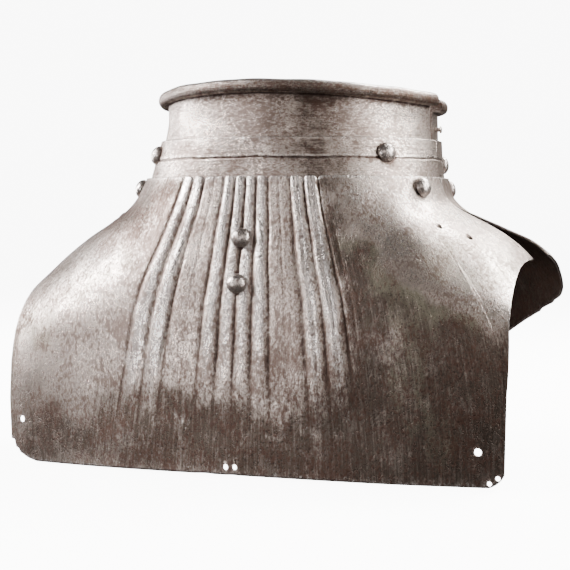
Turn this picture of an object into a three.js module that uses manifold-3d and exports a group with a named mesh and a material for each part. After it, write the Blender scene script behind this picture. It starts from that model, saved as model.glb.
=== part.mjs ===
// A fluted steel gorget of the early sixteenth century, standing on its lower edges.
// Two halves, front and back, each of a main plate, a neck lame and a turned collar.
// Millimetres, +Z up, +X to the wearer's left, the front faces -Y.
import * as THREE from "three";
import { mergeVertices } from "three/addons/utils/BufferGeometryUtils.js";
import Module from "manifold-3d";

const wasm = await Module();
wasm.setup();

// Sheet and fits
const plateThickness = 1.3;
const lapGap = 0.9; // clearance between two lapped plates, so that a lame can tilt
const layer = plateThickness + lapGap;
const seatGap = 0.3; // between a rivet head and the plate under it
const holeClearance = 0.45; // round a rivet's shank

// Heights above the surface that the gorget stands on
const necklineHeight = 157.5; // upper edge of the two main plates
const lameRise = 21; // of the neck lames over the neckline
const lameTop = necklineHeight + lameRise;
const collarRise = 17.5; // of the collar's wall over the lame
const rimRoot = lameTop + collarRise; // where the collar starts to turn outwards
const backRimDrop = 3; // the back collar's rim lies this much lower
const lapDepth = 14; // how far a neck plate runs down inside the one below it
const backCollarLap = 18; // the back collar runs down further
const tipHeight = 121; // tips of the front plate's shoulders
const wingHeight = 90; // the back plate's wings stop here, at their outer ends
const frontHemArch = 1.6; // the front hem stands this high in its middle

// Half widths, and reaches to the front and to the back
const collarHalfWidth = 76.5;
const collarHalfDepth = 76.5;
const frontHalfWidth = 144;
const frontReach = 102.4;
const frontTipInset = 10.5; // the shoulder tips are narrower than the widest part
const frontFootInset = 0.6;
const widestHeight = 56;
const footCornerRadius = 9;
const wingCornerRadius = 9;
const wingInset = 0.5; // the back plate's wings lie this far inside the front plate's widest part
const backHalfWidth = frontHalfWidth - wingInset;
const backReach = 111;
const tongueTaper = 0.32; // how soon the back plate's hem turns up beside its tongue
const tongueFlat = 13; // half width of the flat that the tongue stands on
const frontEndSet = 3.6; // the front half stops this far before the middle plane
const backEndSet = 1.6; // and the back half starts this far behind it

// Turned rim
const turnRadius = 4.5; // the sheet's bend outwards
const beadRadius = 2.9; // half the width of the edge's roll
const beadHalfHeight = 3.7;
const rimRise = 4.8; // the front rim stands higher in its middle

// Neck tube: outer surface of the collars, as shares of a collar's half width and half depth.
// up runs from the neckline, 0, to the rim's root, 1; square is the exponent of the oval.
const frontNeck = [
  { up: 1.2, side: 1, depth: 1, square: 2 },
  { up: 0.8, side: 1, depth: 1, square: 2 },
  { up: 0.52, side: 1.015, depth: 1.004, square: 2.1 },
  { up: 0.25, side: 1.035, depth: 1, square: 2.3 },
  { up: 0, side: 1.05, depth: 1, square: 2.5 },
  { up: -0.4, side: 1.062, depth: 1.012, square: 2.65 },
];
const backNeck = [
  { up: 1.2, side: 1, depth: 1, square: 2 },
  { up: 0.8, side: 1, depth: 1, square: 2 },
  { up: 0.52, side: 1.002, depth: 1.006, square: 2 },
  { up: 0.25, side: 1.006, depth: 1.01, square: 2.05 },
  { up: 0, side: 1.012, depth: 1.015, square: 2.1 },
  { up: -0.4, side: 1.03, depth: 1.03, square: 2.2 },
];

// Main plates: rings that a smooth sheet is drawn through, from the neckline out and down.
// out runs from the neckline, 0, to the plate's half width or reach, 1; down is a share of
// the neckline's height. side and sideDown hold at the shoulder, middle and middleDown there.
const frontRings = [
  { side: 0, sideDown: 0, middle: 0, middleDown: 0, square: 2.5 },
  { side: 0.02, sideDown: 0.05, middle: 0.045, middleDown: 0.05, square: 2.8 },
  { side: 0.1, sideDown: 0.103, middle: 0.13, middleDown: 0.117, square: 3 },
  { side: 0.4, sideDown: 0.148, middle: 0.205, middleDown: 0.181, square: 2.8 },
  { side: 0.8, sideDown: 0.243, middle: 0.33, middleDown: 0.251, square: 2.6 },
  { side: 1.14, sideDown: 0.422, middle: 0.47, middleDown: 0.32, square: 3.1 },
  { side: 1.9, sideDown: 0.57, middle: 0.61, middleDown: 0.416, square: 2.8 },
  { side: 2.25, sideDown: 0.714, middle: 0.75, middleDown: 0.568, square: 2.55 },
  { side: 2.45, sideDown: 0.841, middle: 0.865, middleDown: 0.746, square: 2.3 },
  { side: 2.55, sideDown: 0.924, middle: 0.935, middleDown: 0.886, square: 2.15 },
  { side: 2.625, sideDown: 1.065, middle: 1.042, middleDown: 1.065, square: 2 },
];
const backRings = [
  { side: 0, sideDown: 0, middle: 0, middleDown: 0, square: 2.1 },
  { side: 0.012, sideDown: 0.048, middle: 0.04, middleDown: 0.05, square: 2.1 },
  { side: 0.07, sideDown: 0.09, middle: 0.12, middleDown: 0.11, square: 2.15 },
  { side: 0.3, sideDown: 0.124, middle: 0.26, middleDown: 0.19, square: 2.2 },
  { side: 0.62, sideDown: 0.184, middle: 0.42, middleDown: 0.28, square: 2.3 },
  { side: 0.94, sideDown: 0.225, middle: 0.58, middleDown: 0.385, square: 2.35 },
  { side: 1.11, sideDown: 0.325, middle: 0.74, middleDown: 0.54, square: 2.35 },
  { side: 1.17, sideDown: 0.49, middle: 0.86, middleDown: 0.72, square: 2.3 },
  { side: 1.2, sideDown: 0.7, middle: 0.95, middleDown: 0.87, square: 2.3 },
  { side: 1.22, sideDown: 1.065, middle: 1.02, middleDown: 1.065, square: 2.3 },
];

// Where the sheet's columns run: azimuth in degrees from the half's middle, at the neckline
// and at the edge. The last column of each half runs along its end, beside the other half.
const frontFan = [
  { neck: 0, edge: 0 },
  { neck: 4.4, edge: 6.2 },
  { neck: 9.1, edge: 12.6 },
  { neck: 17.6, edge: 24.5 },
  { neck: 22.7, edge: 30.5 },
  { neck: 27.7, edge: 36.5 },
  { neck: 60, edge: 60 },
  { neck: 90, edge: 90 },
];
const backFan = [
  { neck: 0, edge: 0 },
  { neck: 90, edge: 90 },
];

// Flutes: grooves fan out over the front plate, mirrored about its middle.
// neck is the groove's azimuth at the neckline, width the half width of its hollow in degrees.
const grooves = [
  { neck: 0, width: 0.8, depth: 0.9 },
  { neck: 4.4, width: 0.8, depth: 0.9 },
  { neck: 9.1, width: 0.9, depth: 1.0 },
  { neck: 17.6, width: 0.9, depth: 1.0 },
  { neck: 22.7, width: 0.8, depth: 0.9 },
  { neck: 27.7, width: 0.9, depth: 1.0 },
];
const ridges = [
  { from: 0, to: 4.4, height: 0.8 },
  { from: 4.4, to: 9.1, height: 0.9 },
  { from: 17.6, to: 22.7, height: 1.0 },
  { from: 22.7, to: 27.7, height: 1.0 },
];
const fluteFade = 0.6; // share of the way down where the flutes start to sink away
const fluteEnd = 0.86;

// Rivets: azimuth from the middle of the half, place up its lap, head radius and head rise
const shankRadius = 2.2;
const rivetHead = { radius: 5.4, rise: 4.2 };
const lowRivetHead = { radius: 5.1, rise: 3.4 };
const rivetRows = [
  { name: "front_lame_rivet", azimuth: 54, lap: 0.4, head: rivetHead },
  { name: "front_plate_rivet", azimuth: 68, lap: 0.57, head: rivetHead },
  { name: "back_lame_rivet", azimuth: 65, lap: 0.27, head: lowRivetHead },
  { name: "back_plate_rivet", azimuth: 63, lap: 0.57, head: lowRivetHead },
];
const middleRivetDrops = [0.208, 0.36]; // shares of the neckline's height
const innerHeadRadius = 4;
const innerHeadRise = 0.9;

// Closing stud on the back collar, at the wearer's left
const stud = { fromEnd: 6, up: 0.7, radius: 1.3, rise: 4, headRadius: 2, headRise: 1.2 };

// Pivot at the wearer's right shoulder: a tab of the back plate laps the front plate
const pivotFromTip = 28; // from the edge of the shoulder to the pivot
const pivotFromEnd = 10; // from the front half's end
const pivotHead = { radius: 4.8, rise: 2.2 };
const tabRadius = 9.5;
const tabReach = 10; // of the tab over the back plate
const tabLift = 0.8;
const swingCut = 36; // degrees cleared outside the tab, so that the back half can swing

// Holes in the front plate. inset is the distance in from the side, up that from the foot.
const footHoles = [
  { side: 1, inset: 14.5, up: 18.5, radius: 2 },
  { side: -1, inset: 9.5, up: 23.5, radius: 1.9 },
  { side: 1, inset: 4.6, up: 5.4, radius: 1.35 },
  { side: 1, inset: 8.6, up: 2.7, radius: 1.3 },
];
const hemHoles = [
  { x: -2.5, up: 4.4, radius: 1.6 },
  { x: 2.7, up: 4.6, radius: 1.5 },
];
const shoulderHoles = [
  { inset: 36, forward: 48, radius: 1.7 },
  { inset: 22, forward: 40, radius: 1.9 },
  { inset: 5.5, forward: 6, radius: 1.4 },
];

const hemFlatShare = 0.72; // beyond this share of its half width the front hem lies flat
const rimReach = beadRadius * 2; // of the rim outside the collar
const rimHeight = turnRadius + beadHalfHeight; // over its root, at the sides
const tipX = frontHalfWidth - frontTipInset;

const degrees = Math.PI / 180;
const mix = (a, b, share) => a + (b - a) * share;
const clamp01 = (v) => Math.min(1, Math.max(0, v));
const smooth = (from, to, v) => {
  const s = clamp01((v - from) / (to - from));
  return s * s * (3 - 2 * s);
};

// Radius of an oval with half width side and half depth depth, at an azimuth from its middle
function ovalRadius(azimuth, side, depth, square) {
  const across = Math.abs(Math.sin(azimuth)) / side;
  const along = Math.abs(Math.cos(azimuth)) / depth;
  return (across ** square + along ** square) ** (-1 / square);
}

// The collar's oval at a height
function neckOval(rows, height) {
  const up = (height - necklineHeight) / (rimRoot - necklineHeight);
  const below = rows.findIndex((row) => row.up <= up);
  const k = below < 1 ? (below === 0 ? 1 : rows.length - 1) : below;
  const share = (rows[k - 1].up - up) / (rows[k - 1].up - rows[k].up);
  return {
    side: collarHalfWidth * mix(rows[k - 1].side, rows[k].side, share),
    depth: collarHalfDepth * mix(rows[k - 1].depth, rows[k].depth, share),
    square: mix(rows[k - 1].square, rows[k].square, share),
  };
}

// A point of the neck tube, facing -1 for the front half and 1 for the back half,
// moved outwards from the collar's outer surface
function neckPoint(rows, facing, azimuth, height, outwards) {
  const { side, depth, square } = neckOval(rows, height);
  const radius = ovalRadius(azimuth, side, depth, square) + outwards;
  return new THREE.Vector3(radius * Math.sin(azimuth), facing * radius * Math.cos(azimuth), height);
}

// A main plate's rings in millimetres
function ringsOf(shares, neckRows, halfWidth, reach) {
  const neck = neckOval(neckRows, necklineHeight);
  return shares.map((row) => ({
    side: mix(neck.side + 2 * layer, halfWidth, row.side),
    sideHeight: necklineHeight * (1 - row.sideDown),
    depth: mix(neck.depth + 2 * layer, reach, row.middle),
    depthHeight: necklineHeight * (1 - row.middleDown),
    square: row.square,
  }));
}

// Weights of a clamped cubic spline with count control rows, at share t of its length
function splineWeights(t, count) {
  const spans = count - 3;
  const knot = (i) => Math.min(spans, Math.max(0, i - 3));
  const v = Math.min(clamp01(t) * spans, spans - 1e-9);
  const span = Math.floor(v) + 3;
  let weights = [1];
  for (let degree = 1; degree <= 3; degree++) {
    const next = new Array(degree + 1).fill(0);
    for (let j = 0; j < degree; j++) {
      const low = knot(span - degree + 1 + j);
      const high = knot(span + 1 + j);
      const share = (v - low) / (high - low);
      next[j] += weights[j] * (1 - share);
      next[j + 1] += weights[j] * share;
    }
    weights = next;
  }
  return { first: span - 3, weights };
}

// A point of a main plate's sheet at an azimuth and a share of the way down
function ringPoint(rings, facing, azimuth, t) {
  const { first, weights } = splineWeights(t, rings.length);
  let radius = 0;
  let height = 0;
  weights.forEach((weight, k) => {
    const ring = rings[first + k];
    radius += weight * ovalRadius(azimuth, ring.side, ring.depth, ring.square);
    height += weight * mix(ring.sideHeight, ring.depthHeight, Math.cos(azimuth));
  });
  return new THREE.Vector3(radius * Math.sin(azimuth), facing * radius * Math.cos(azimuth), height);
}

// Azimuth at the edge of a sheet for an azimuth at its neckline
function fanEdge(fan, azimuth) {
  const a = Math.abs(azimuth);
  const beyond = fan.findIndex((row) => row.neck >= a);
  const k = beyond < 1 ? (beyond === 0 ? 1 : fan.length - 1) : beyond;
  const share = (a - fan[k - 1].neck) / (fan[k].neck - fan[k - 1].neck);
  return Math.sign(azimuth) * mix(fan[k - 1].edge, fan[k].edge, share);
}

// Raised flutes and sunk grooves of the front plate, in millimetres out of the sheet
function fluteRelief(neckAzimuth, t) {
  const a = Math.abs(neckAzimuth);
  const fade = 1 - smooth(fluteFade, fluteEnd, t);
  const sink = smooth(-0.01, 0.06, t);
  let relief = 0;
  for (const groove of grooves) relief -= sink * groove.depth * Math.exp(-(((a - groove.neck) / groove.width) ** 2));
  for (const ridge of ridges) {
    if (a > ridge.from && a < ridge.to)
      relief += ridge.height * Math.sin((Math.PI * (a - ridge.from)) / (ridge.to - ridge.from));
  }
  return relief * fade;
}

// Half width of the front plate at a height
function frontEdge(height) {
  const up = Math.max(0, height - widestHeight) / (tipHeight - widestHeight);
  const down = Math.max(0, widestHeight - height) / widestHeight;
  return frontHalfWidth - frontTipInset * up ** 2 - frontFootInset * down ** 2;
}

function frontHem(x) {
  const share = Math.min(1, Math.abs(x) / (hemFlatShare * frontHalfWidth));
  return frontHemArch * (1 - share ** 2) ** 2;
}

// How far a point lies outside an outline that it passes at the side and below: positive is cut away
function outsideCorner(beside, below, radius) {
  const a = beside + radius;
  const b = below + radius;
  if (a > 0 && b > 0) return Math.hypot(a, b) - radius;
  return Math.max(beside, below);
}

const outsideFront = (p) =>
  outsideCorner(Math.abs(p.x) - frontEdge(p.z), frontHem(p.x) - p.z, footCornerRadius);

function backHem(x) {
  const share = clamp01((Math.abs(x) - tongueFlat) / (backHalfWidth - tongueFlat));
  return (wingHeight * share ** 2 * (1 + tongueTaper)) / (share ** 2 + tongueTaper);
}

const outsideBack = (p) => outsideCorner(Math.abs(p.x) - backHalfWidth, backHem(p.x) - p.z, wingCornerRadius);

// A sheet of steel as one closed body, from a grid of outer points and one of inner points
function sheetGeometry(outer, inner) {
  const rows = outer.length;
  const columns = outer[0].length;
  const positions = [];
  for (const grid of [outer, inner]) for (const row of grid) for (const p of row) positions.push(p.x, p.y, p.z);
  const at = (side, i, j) => side * rows * columns + i * columns + j;
  const index = [];
  const quad = (a, b, c, d) => index.push(a, b, c, a, c, d);
  for (let i = 0; i + 1 < rows; i++) {
    for (let j = 0; j + 1 < columns; j++) {
      quad(at(0, i, j), at(0, i + 1, j), at(0, i + 1, j + 1), at(0, i, j + 1));
      quad(at(1, i, j), at(1, i, j + 1), at(1, i + 1, j + 1), at(1, i + 1, j));
    }
  }
  for (let j = 0; j + 1 < columns; j++) {
    quad(at(0, 0, j), at(0, 0, j + 1), at(1, 0, j + 1), at(1, 0, j));
    quad(at(0, rows - 1, j), at(1, rows - 1, j), at(1, rows - 1, j + 1), at(0, rows - 1, j + 1));
  }
  for (let i = 0; i + 1 < rows; i++) {
    quad(at(0, i, 0), at(1, i, 0), at(1, i + 1, 0), at(0, i + 1, 0));
    quad(at(0, i, columns - 1), at(0, i + 1, columns - 1), at(1, i + 1, columns - 1), at(1, i, columns - 1));
  }
  return meshGeometry(positions, index);
}

function meshGeometry(positions, index) {
  const geometry = new THREE.BufferGeometry();
  geometry.setAttribute("position", new THREE.Float32BufferAttribute(positions, 3));
  geometry.setIndex(index);
  return geometry;
}

function manifoldMesh(geometry, flip) {
  const triVerts = new Uint32Array(geometry.index.array);
  for (let i = 0; flip && i < triVerts.length; i += 3) {
    const kept = triVerts[i + 1];
    triVerts[i + 1] = triVerts[i + 2];
    triVerts[i + 2] = kept;
  }
  return new wasm.Mesh({
    numProp: 3,
    vertProperties: new Float32Array(geometry.attributes.position.array),
    triVerts,
  });
}

function solidOf(geometry) {
  const bare = geometry.clone();
  bare.deleteAttribute("normal");
  bare.deleteAttribute("uv");
  const merged = mergeVertices(bare, 1e-4);
  const solid = new wasm.Manifold(manifoldMesh(merged, false));
  return solid.volume() < 0 ? new wasm.Manifold(manifoldMesh(merged, true)) : solid;
}

function geometryOf(solid) {
  const { vertProperties, triVerts } = solid.getMesh();
  const geometry = meshGeometry(Array.from(vertProperties), Array.from(triVerts));
  geometry.computeVertexNormals();
  return geometry;
}

// Outward unit normal of a sheet given as a function of two numbers
function normalOf(sheet, u, v, outwards) {
  const step = 1e-3;
  const alongU = sheet(u + step, v).sub(sheet(u - step, v));
  const alongV = sheet(u, v + step).sub(sheet(u, v - step));
  const normal = alongU.cross(alongV).normalize();
  return normal.dot(outwards) < 0 ? normal.negate() : normal;
}

// Azimuths at the neckline of the front plate's columns, in degrees, from one end to the other:
// close together over the flutes and round the foot corners
function frontColumns(corner) {
  const half = [0];
  for (let k = 1; k < grooves.length; k++) {
    const from = grooves[k - 1].neck;
    const to = grooves[k].neck;
    const ridge = ridges.some((row) => row.from === from);
    for (const share of ridge ? [0.27, 0.5, 0.73] : [0.13, 0.5, 0.87]) half.push(mix(from, to, share));
    half.push(to);
  }
  const last = grooves[grooves.length - 1].neck;
  half.push(last + 1.3);
  for (const share of [0.2, 0.43, 0.65, 0.84, 0.94, 1]) half.push(mix(last, corner, share));
  for (const share of [0.06, 0.19, 0.35, 0.52, 0.69, 0.85, 1]) half.push(mix(corner, 90, share));
  return mirrored(half);
}

function backColumns() {
  const steps = 15;
  return mirrored(Array.from({ length: steps + 1 }, (_, k) => (90 * k) / steps));
}

function mirrored(half) {
  return [...half.slice(1).reverse().map((a) => -a), ...half];
}

// Azimuth at the neckline of the column that runs into a corner of the foot, where the ends leave the floor
function cornerColumn(endPoint) {
  let low = 40;
  let high = 80;
  for (let k = 0; k < 20; k++) {
    const middle = (low + high) / 2;
    if (endPoint(middle).z > footCornerRadius * 0.3) high = middle;
    else low = middle;
  }
  return low;
}

// The share of the way down at which a column leaves the plate's outline
function columnEnd(point, outside) {
  let inside = 0.12;
  while (outside(point(inside + 0.01)) < 0 && inside < 0.98) inside += 0.01;
  let beyond = inside + 0.01;
  for (let k = 0; k < 30; k++) {
    const middle = (inside + beyond) / 2;
    if (outside(point(middle)) < 0) inside = middle;
    else beyond = middle;
  }
  return inside;
}

// A main plate: an outer sheet with its relief, and an inner one a plate's thickness inside it.
// Its columns are squeezed so that the last ones run along a straight end, endSet from the middle plane.
function mainPlate({ rings, facing, fan, columnsFor, outside, relief, rowShares, endSet }) {
  const squeeze = (t) => Math.acos(endSet / ringPoint(rings, facing, Math.PI / 2, t).x) / (Math.PI / 2);
  const azimuthAt = (neck, t) => mix(neck, fanEdge(fan, neck), t) * squeeze(t) * degrees;
  const bare = (neck, t) => ringPoint(rings, facing, azimuthAt(neck, t), t);
  const outwardsAt = (neck) => new THREE.Vector3(Math.sin(neck * degrees), facing * Math.cos(neck * degrees), 0.5);
  const normalAt = (neck, t) => normalOf(bare, neck, t, outwardsAt(neck));
  const sheet = (neck, t) => bare(neck, t).addScaledVector(normalAt(neck, t), relief(neck, t));
  const endAt = (neck) => columnEnd((t) => bare(neck, t), outside);
  const columns = columnsFor(cornerColumn((neck) => bare(neck, endAt(neck))));
  const ends = columns.map(endAt);
  const outer = rowShares.map((share) => columns.map((neck, j) => sheet(neck, share * ends[j])));
  const inner = rowShares.map((share, i) =>
    columns.map((neck, j) => {
      const p = outer[i][j].clone().addScaledVector(normalAt(neck, share * ends[j]), -plateThickness);
      if (i === rowShares.length - 1) p.z = outer[i][j].z;
      return p;
    }),
  );
  return { solid: solidOf(sheetGeometry(outer, inner)), sheet, normalAt };
}

// Azimuths of a neck piece's columns, up to an end that lies endSet from the middle plane
function neckAzimuths(endSet, steps) {
  const end = Math.acos(endSet / collarHalfWidth);
  return Array.from({ length: steps + 1 }, (_, k) => mix(-end, end, k / steps));
}

// A neck lame: a band of the neck tube between two heights
function neckBand(rows, facing, outwards, top, bottom, endSet, steps) {
  const heights = [0, 0.5, 1].map((share) => mix(top, bottom, share));
  const azimuths = neckAzimuths(endSet, steps);
  const outer = heights.map((z) => azimuths.map((a) => neckPoint(rows, facing, a, z, outwards)));
  const inner = heights.map((z) => azimuths.map((a) => neckPoint(rows, facing, a, z, outwards - plateThickness)));
  return solidOf(sheetGeometry(outer, inner));
}

// Section of a collar from its lower edge up its outer side, round the turned rim and down inside.
// The sheet bends outwards and ends in a bead; out is from the wall's outer side.
function collarSection(root, wallBottom) {
  const beadOut = rimReach - beadRadius;
  const beadUp = rimHeight - beadHalfHeight;
  const section = [
    { out: -plateThickness, height: wallBottom },
    { out: 0, height: wallBottom },
    { out: 0, height: mix(wallBottom, root, 0.5) },
    { out: 0, height: root },
    { out: beadRadius * 0.12, height: root + beadUp * 0.22 },
  ];
  for (const turn of [-105, -62, -20, 25, 70, 115, 160]) {
    const a = turn * degrees;
    section.push({
      out: beadOut + beadRadius * Math.cos(a),
      height: root + beadUp + beadHalfHeight * Math.sin(a),
    });
  }
  section.push({ out: -plateThickness * 0.7, height: root + beadUp * 0.8 });
  section.push({ out: -plateThickness, height: root });
  section.push({ out: -plateThickness, height: mix(wallBottom, root, 0.5) });
  return section;
}

// A collar: the upright wall and its turned rim, as one sheet swept round the neck
function collar(rows, facing, { bottom, root, rise }, endSet, steps) {
  const section = collarSection(root, bottom);
  const azimuths = neckAzimuths(endSet, steps);
  const positions = [];
  for (const a of azimuths) {
    for (const { out, height } of section) {
      const p = neckPoint(rows, facing, a, Math.min(height, root), out);
      const lift = height >= root ? rise * Math.cos(a) ** 2 : 0;
      positions.push(p.x, p.y, height + lift);
    }
  }
  const count = section.length;
  const index = [];
  for (let k = 0; k < steps; k++) {
    for (let s = 0; s < count; s++) {
      const a = k * count + s;
      const b = k * count + ((s + 1) % count);
      index.push(a, b, b + count, a, b + count, a + count);
    }
  }
  const capFaces = THREE.ShapeUtils.triangulateShape(
    section.map(({ out, height }) => new THREE.Vector2(out, height)),
    [],
  );
  const last = steps * count;
  for (const [a, b, c] of capFaces) index.push(a, c, b, last + a, last + b, last + c);
  return solidOf(meshGeometry(positions, index));
}

// Turns a shape drawn along +Y so that it points along an axis from a seat
function placed(geometry, seat, axis) {
  geometry.applyQuaternion(new THREE.Quaternion().setFromUnitVectors(new THREE.Vector3(0, 1, 0), axis));
  geometry.translate(seat.x, seat.y, seat.z);
  return geometry;
}

// A straight round pin, as a solid to cut a hole with
function pin(centre, axis, radius, length) {
  return solidOf(placed(new THREE.CylinderGeometry(radius, radius, length, 12), centre, axis));
}

// A domed rivet: its head above the seat, its shank down through depth, its peened end below
function rivetGeometry(head, depth) {
  const profile = [new THREE.Vector2(0, -depth - innerHeadRise)];
  profile.push(new THREE.Vector2(innerHeadRadius * 0.7, -depth - innerHeadRise));
  profile.push(new THREE.Vector2(innerHeadRadius, -depth));
  profile.push(new THREE.Vector2(shankRadius, -depth));
  profile.push(new THREE.Vector2(shankRadius, 0));
  profile.push(new THREE.Vector2(head.radius, 0));
  for (const turn of [20, 42, 64]) {
    const a = turn * degrees;
    profile.push(new THREE.Vector2(head.radius * Math.cos(a), head.rise * Math.sin(a)));
  }
  profile.push(new THREE.Vector2(0, head.rise));
  return new THREE.LatheGeometry(profile, 11);
}

const steel = new THREE.MeshStandardMaterial({ color: 0x8f847c, roughness: 0.36, metalness: 0.95 });
const darkSteel = new THREE.MeshStandardMaterial({ color: 0x6d615b, roughness: 0.45, metalness: 0.9 });
const centred = new THREE.Group();

function addMesh(name, geometry, material) {
  const mesh = new THREE.Mesh(geometry, material);
  mesh.name = name;
  centred.add(mesh);
}

const frontShares = [0, 0.045, 0.09, 0.14, 0.2, 0.26, 0.33, 0.41, 0.5, 0.6, 0.7, 0.84, 1];
const backShares = [0, 0.06, 0.12, 0.19, 0.26, 0.34, 0.44, 0.56, 0.7, 0.85, 1];
const neckSteps = 24;

const front = mainPlate({
  rings: ringsOf(frontRings, frontNeck, frontHalfWidth, frontReach),
  facing: -1,
  fan: frontFan,
  columnsFor: frontColumns,
  outside: outsideFront,
  relief: fluteRelief,
  rowShares: frontShares,
  endSet: frontEndSet,
});
const back = mainPlate({
  rings: ringsOf(backRings, backNeck, backHalfWidth, backReach),
  facing: 1,
  fan: backFan,
  columnsFor: backColumns,
  outside: outsideBack,
  relief: () => 0,
  rowShares: backShares,
  endSet: backEndSet,
});
const lameBottom = necklineHeight - lapDepth;
const frontCollarRows = { bottom: lameTop - lapDepth, root: rimRoot, rise: rimRise };
const backCollarRows = { bottom: lameTop - backCollarLap, root: rimRoot - backRimDrop, rise: 0 };
const pieces = {
  front_plate: front.solid,
  back_plate: back.solid,
  front_lame: neckBand(frontNeck, -1, layer, lameTop, lameBottom, frontEndSet, neckSteps),
  back_lame: neckBand(backNeck, 1, layer, lameTop, lameBottom, backEndSet, neckSteps),
  front_collar: collar(frontNeck, -1, frontCollarRows, frontEndSet, neckSteps),
  back_collar: collar(backNeck, 1, backCollarRows, backEndSet, neckSteps),
};

// The lowest and highest places of a sheet along an axis from a centre, within a radius of it
function spread(sheet, u, v, reachU, reachV, centre, axis, radius) {
  const steps = 12;
  let low = Infinity;
  let high = -Infinity;
  for (let i = -steps; i <= steps; i++) {
    for (let j = -steps; j <= steps; j++) {
      const from = sheet(u + (reachU * i) / steps, v + (reachV * j) / steps).sub(centre);
      const along = from.dot(axis);
      if (from.lengthSq() - along ** 2 > radius ** 2) continue;
      low = Math.min(low, along);
      high = Math.max(high, along);
    }
  }
  return { low, high };
}

// Fits a rivet through plates, from the highest place under its head to the lowest over its end
function fitRivet(name, head, seat, axis, top, bottom, through) {
  const seatHigh = top + seatGap;
  const depth = seatHigh - bottom + seatGap;
  const middle = seat.clone().addScaledVector(axis, seatHigh - depth / 2);
  for (const plate of through)
    pieces[plate] = pieces[plate].subtract(pin(middle, axis, shankRadius + holeClearance, depth + 4));
  addMesh(name, placed(rivetGeometry(head, depth), seat.clone().addScaledVector(axis, seatHigh), axis), darkSteel);
}

// Finds the share down a main plate's sheet at which a column has a height
function shareAtHeight(sheet, neck, height) {
  let low = 0;
  let high = 1;
  for (let k = 0; k < 40; k++) {
    const middle = (low + high) / 2;
    if (sheet(neck, middle).z > height) low = middle;
    else high = middle;
  }
  return low;
}

const neckReach = 6; // degrees and shares that a rivet's head may cover
const shareReach = 0.12;

// The articulation rivets: a pair for each lap between two plates of a half
for (const { name, azimuth, lap, head } of rivetRows) {
  const inFront = name.startsWith("front");
  const rows = inFront ? frontNeck : backNeck;
  const facing = inFront ? -1 : 1;
  const half = inFront ? "front" : "back";
  const onLame = name.includes("lame");
  const collarRows = inFront ? frontCollarRows : backCollarRows;
  const height = onLame ? mix(collarRows.bottom, lameTop, lap) : mix(lameBottom, necklineHeight, lap);
  for (const [side, sign] of [["left", 1], ["right", -1]]) {
    const neck = sign * azimuth;
    const innermost = onLame ? -plateThickness : layer - plateThickness;
    const band = (outwards) => (u, v) => neckPoint(rows, facing, u * degrees, height + v, outwards);
    const bandNormal = normalOf(band(layer), neck, 0, new THREE.Vector3(sign, facing, 0));
    let outerSheet = band(layer);
    let v = 0;
    let reachV = head.radius * 1.3;
    let axis = bandNormal;
    if (!onLame) {
      const plate = inFront ? front : back;
      outerSheet = plate.sheet;
      v = shareAtHeight(plate.sheet, neck, height);
      reachV = shareReach;
      axis = plate.normalAt(neck, v).add(bandNormal).normalize();
    }
    const seat = outerSheet(neck, v);
    const top = spread(outerSheet, neck, v, neckReach, reachV, seat, axis, head.radius).high;
    const under = spread(band(innermost), neck, 0, neckReach, innerHeadRadius * 1.6, seat, axis, innerHeadRadius);
    const through = onLame ? [`${half}_lame`, `${half}_collar`] : [`${half}_plate`, `${half}_lame`];
    fitRivet(`${name}_${side}`, head, seat, axis, top, under.low, through);
  }
}

// The two rivets down the middle of the front plate
middleRivetDrops.forEach((drop, k) => {
  const v = shareAtHeight(front.sheet, 0, necklineHeight * (1 - drop));
  const seat = front.sheet(0, v);
  const axis = front.normalAt(0, v);
  const { high } = spread(front.sheet, 0, v, neckReach, shareReach, seat, axis, rivetHead.radius);
  const { low } = spread(front.sheet, 0, v, neckReach, shareReach, seat, axis, innerHeadRadius);
  const name = k === 0 ? "middle_rivet_upper" : "middle_rivet_lower";
  fitRivet(name, rivetHead, seat, axis, high, low - plateThickness, ["front_plate"]);
});

// Holes through the front plate: those near its foot run front to back, the shoulder's run down
const plateHoles = [
  ...footHoles.map(({ side, inset, up, radius }) => ({ x: side * (frontEdge(up) - inset), up, radius })),
  ...hemHoles.map(({ x, up, radius }) => ({ x, up: up + frontHem(x), radius })),
];
for (const { x, up, radius } of plateHoles)
  pieces.front_plate = pieces.front_plate.subtract(
    pin(new THREE.Vector3(x, -frontReach * 0.85, up), new THREE.Vector3(0, 1, 0), radius, frontReach * 0.7));
for (const { inset, forward, radius } of shoulderHoles)
  pieces.front_plate = pieces.front_plate.subtract(
    pin(new THREE.Vector3(tipX - inset, -forward - frontEndSet, mix(widestHeight, necklineHeight, 0.5)),
      new THREE.Vector3(0, 0, 1), radius, necklineHeight - widestHeight));

// The pivot's seat on the front plate's shoulder: the sheet's share and azimuth are found there
const pivotX = tipX - pivotFromTip;
const pivotY = -frontEndSet - pivotFromEnd;
let pivotNeck = -80;
let pivotShare = 0.3;
for (let k = 0; k < 30; k++) {
  const p = front.sheet(pivotNeck, pivotShare);
  pivotShare += (pivotX + p.x) * 0.004;
  pivotNeck += (p.y - pivotY) * 0.4 * (pivotX / 113) ** -1;
}
const pivotSeat = front.sheet(pivotNeck, pivotShare);
const pivotNormal = front.normalAt(pivotNeck, pivotShare);
const tabAcross = new THREE.Vector3(1, 0, 0).projectOnPlane(pivotNormal).normalize();
const tabAlong = pivotNormal.clone().cross(tabAcross);

// A flat shape in the pivot's plane, from one height over the sheet to another
function pivotPrism(shape, from, to) {
  const geometry = new THREE.ExtrudeGeometry(shape, { depth: to - from, bevelEnabled: false, curveSegments: 8 });
  geometry.applyMatrix4(new THREE.Matrix4().makeBasis(tabAcross, tabAlong, pivotNormal));
  const base = pivotSeat.clone().addScaledVector(pivotNormal, from);
  geometry.translate(base.x, base.y, base.z);
  return solidOf(geometry);
}

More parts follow.
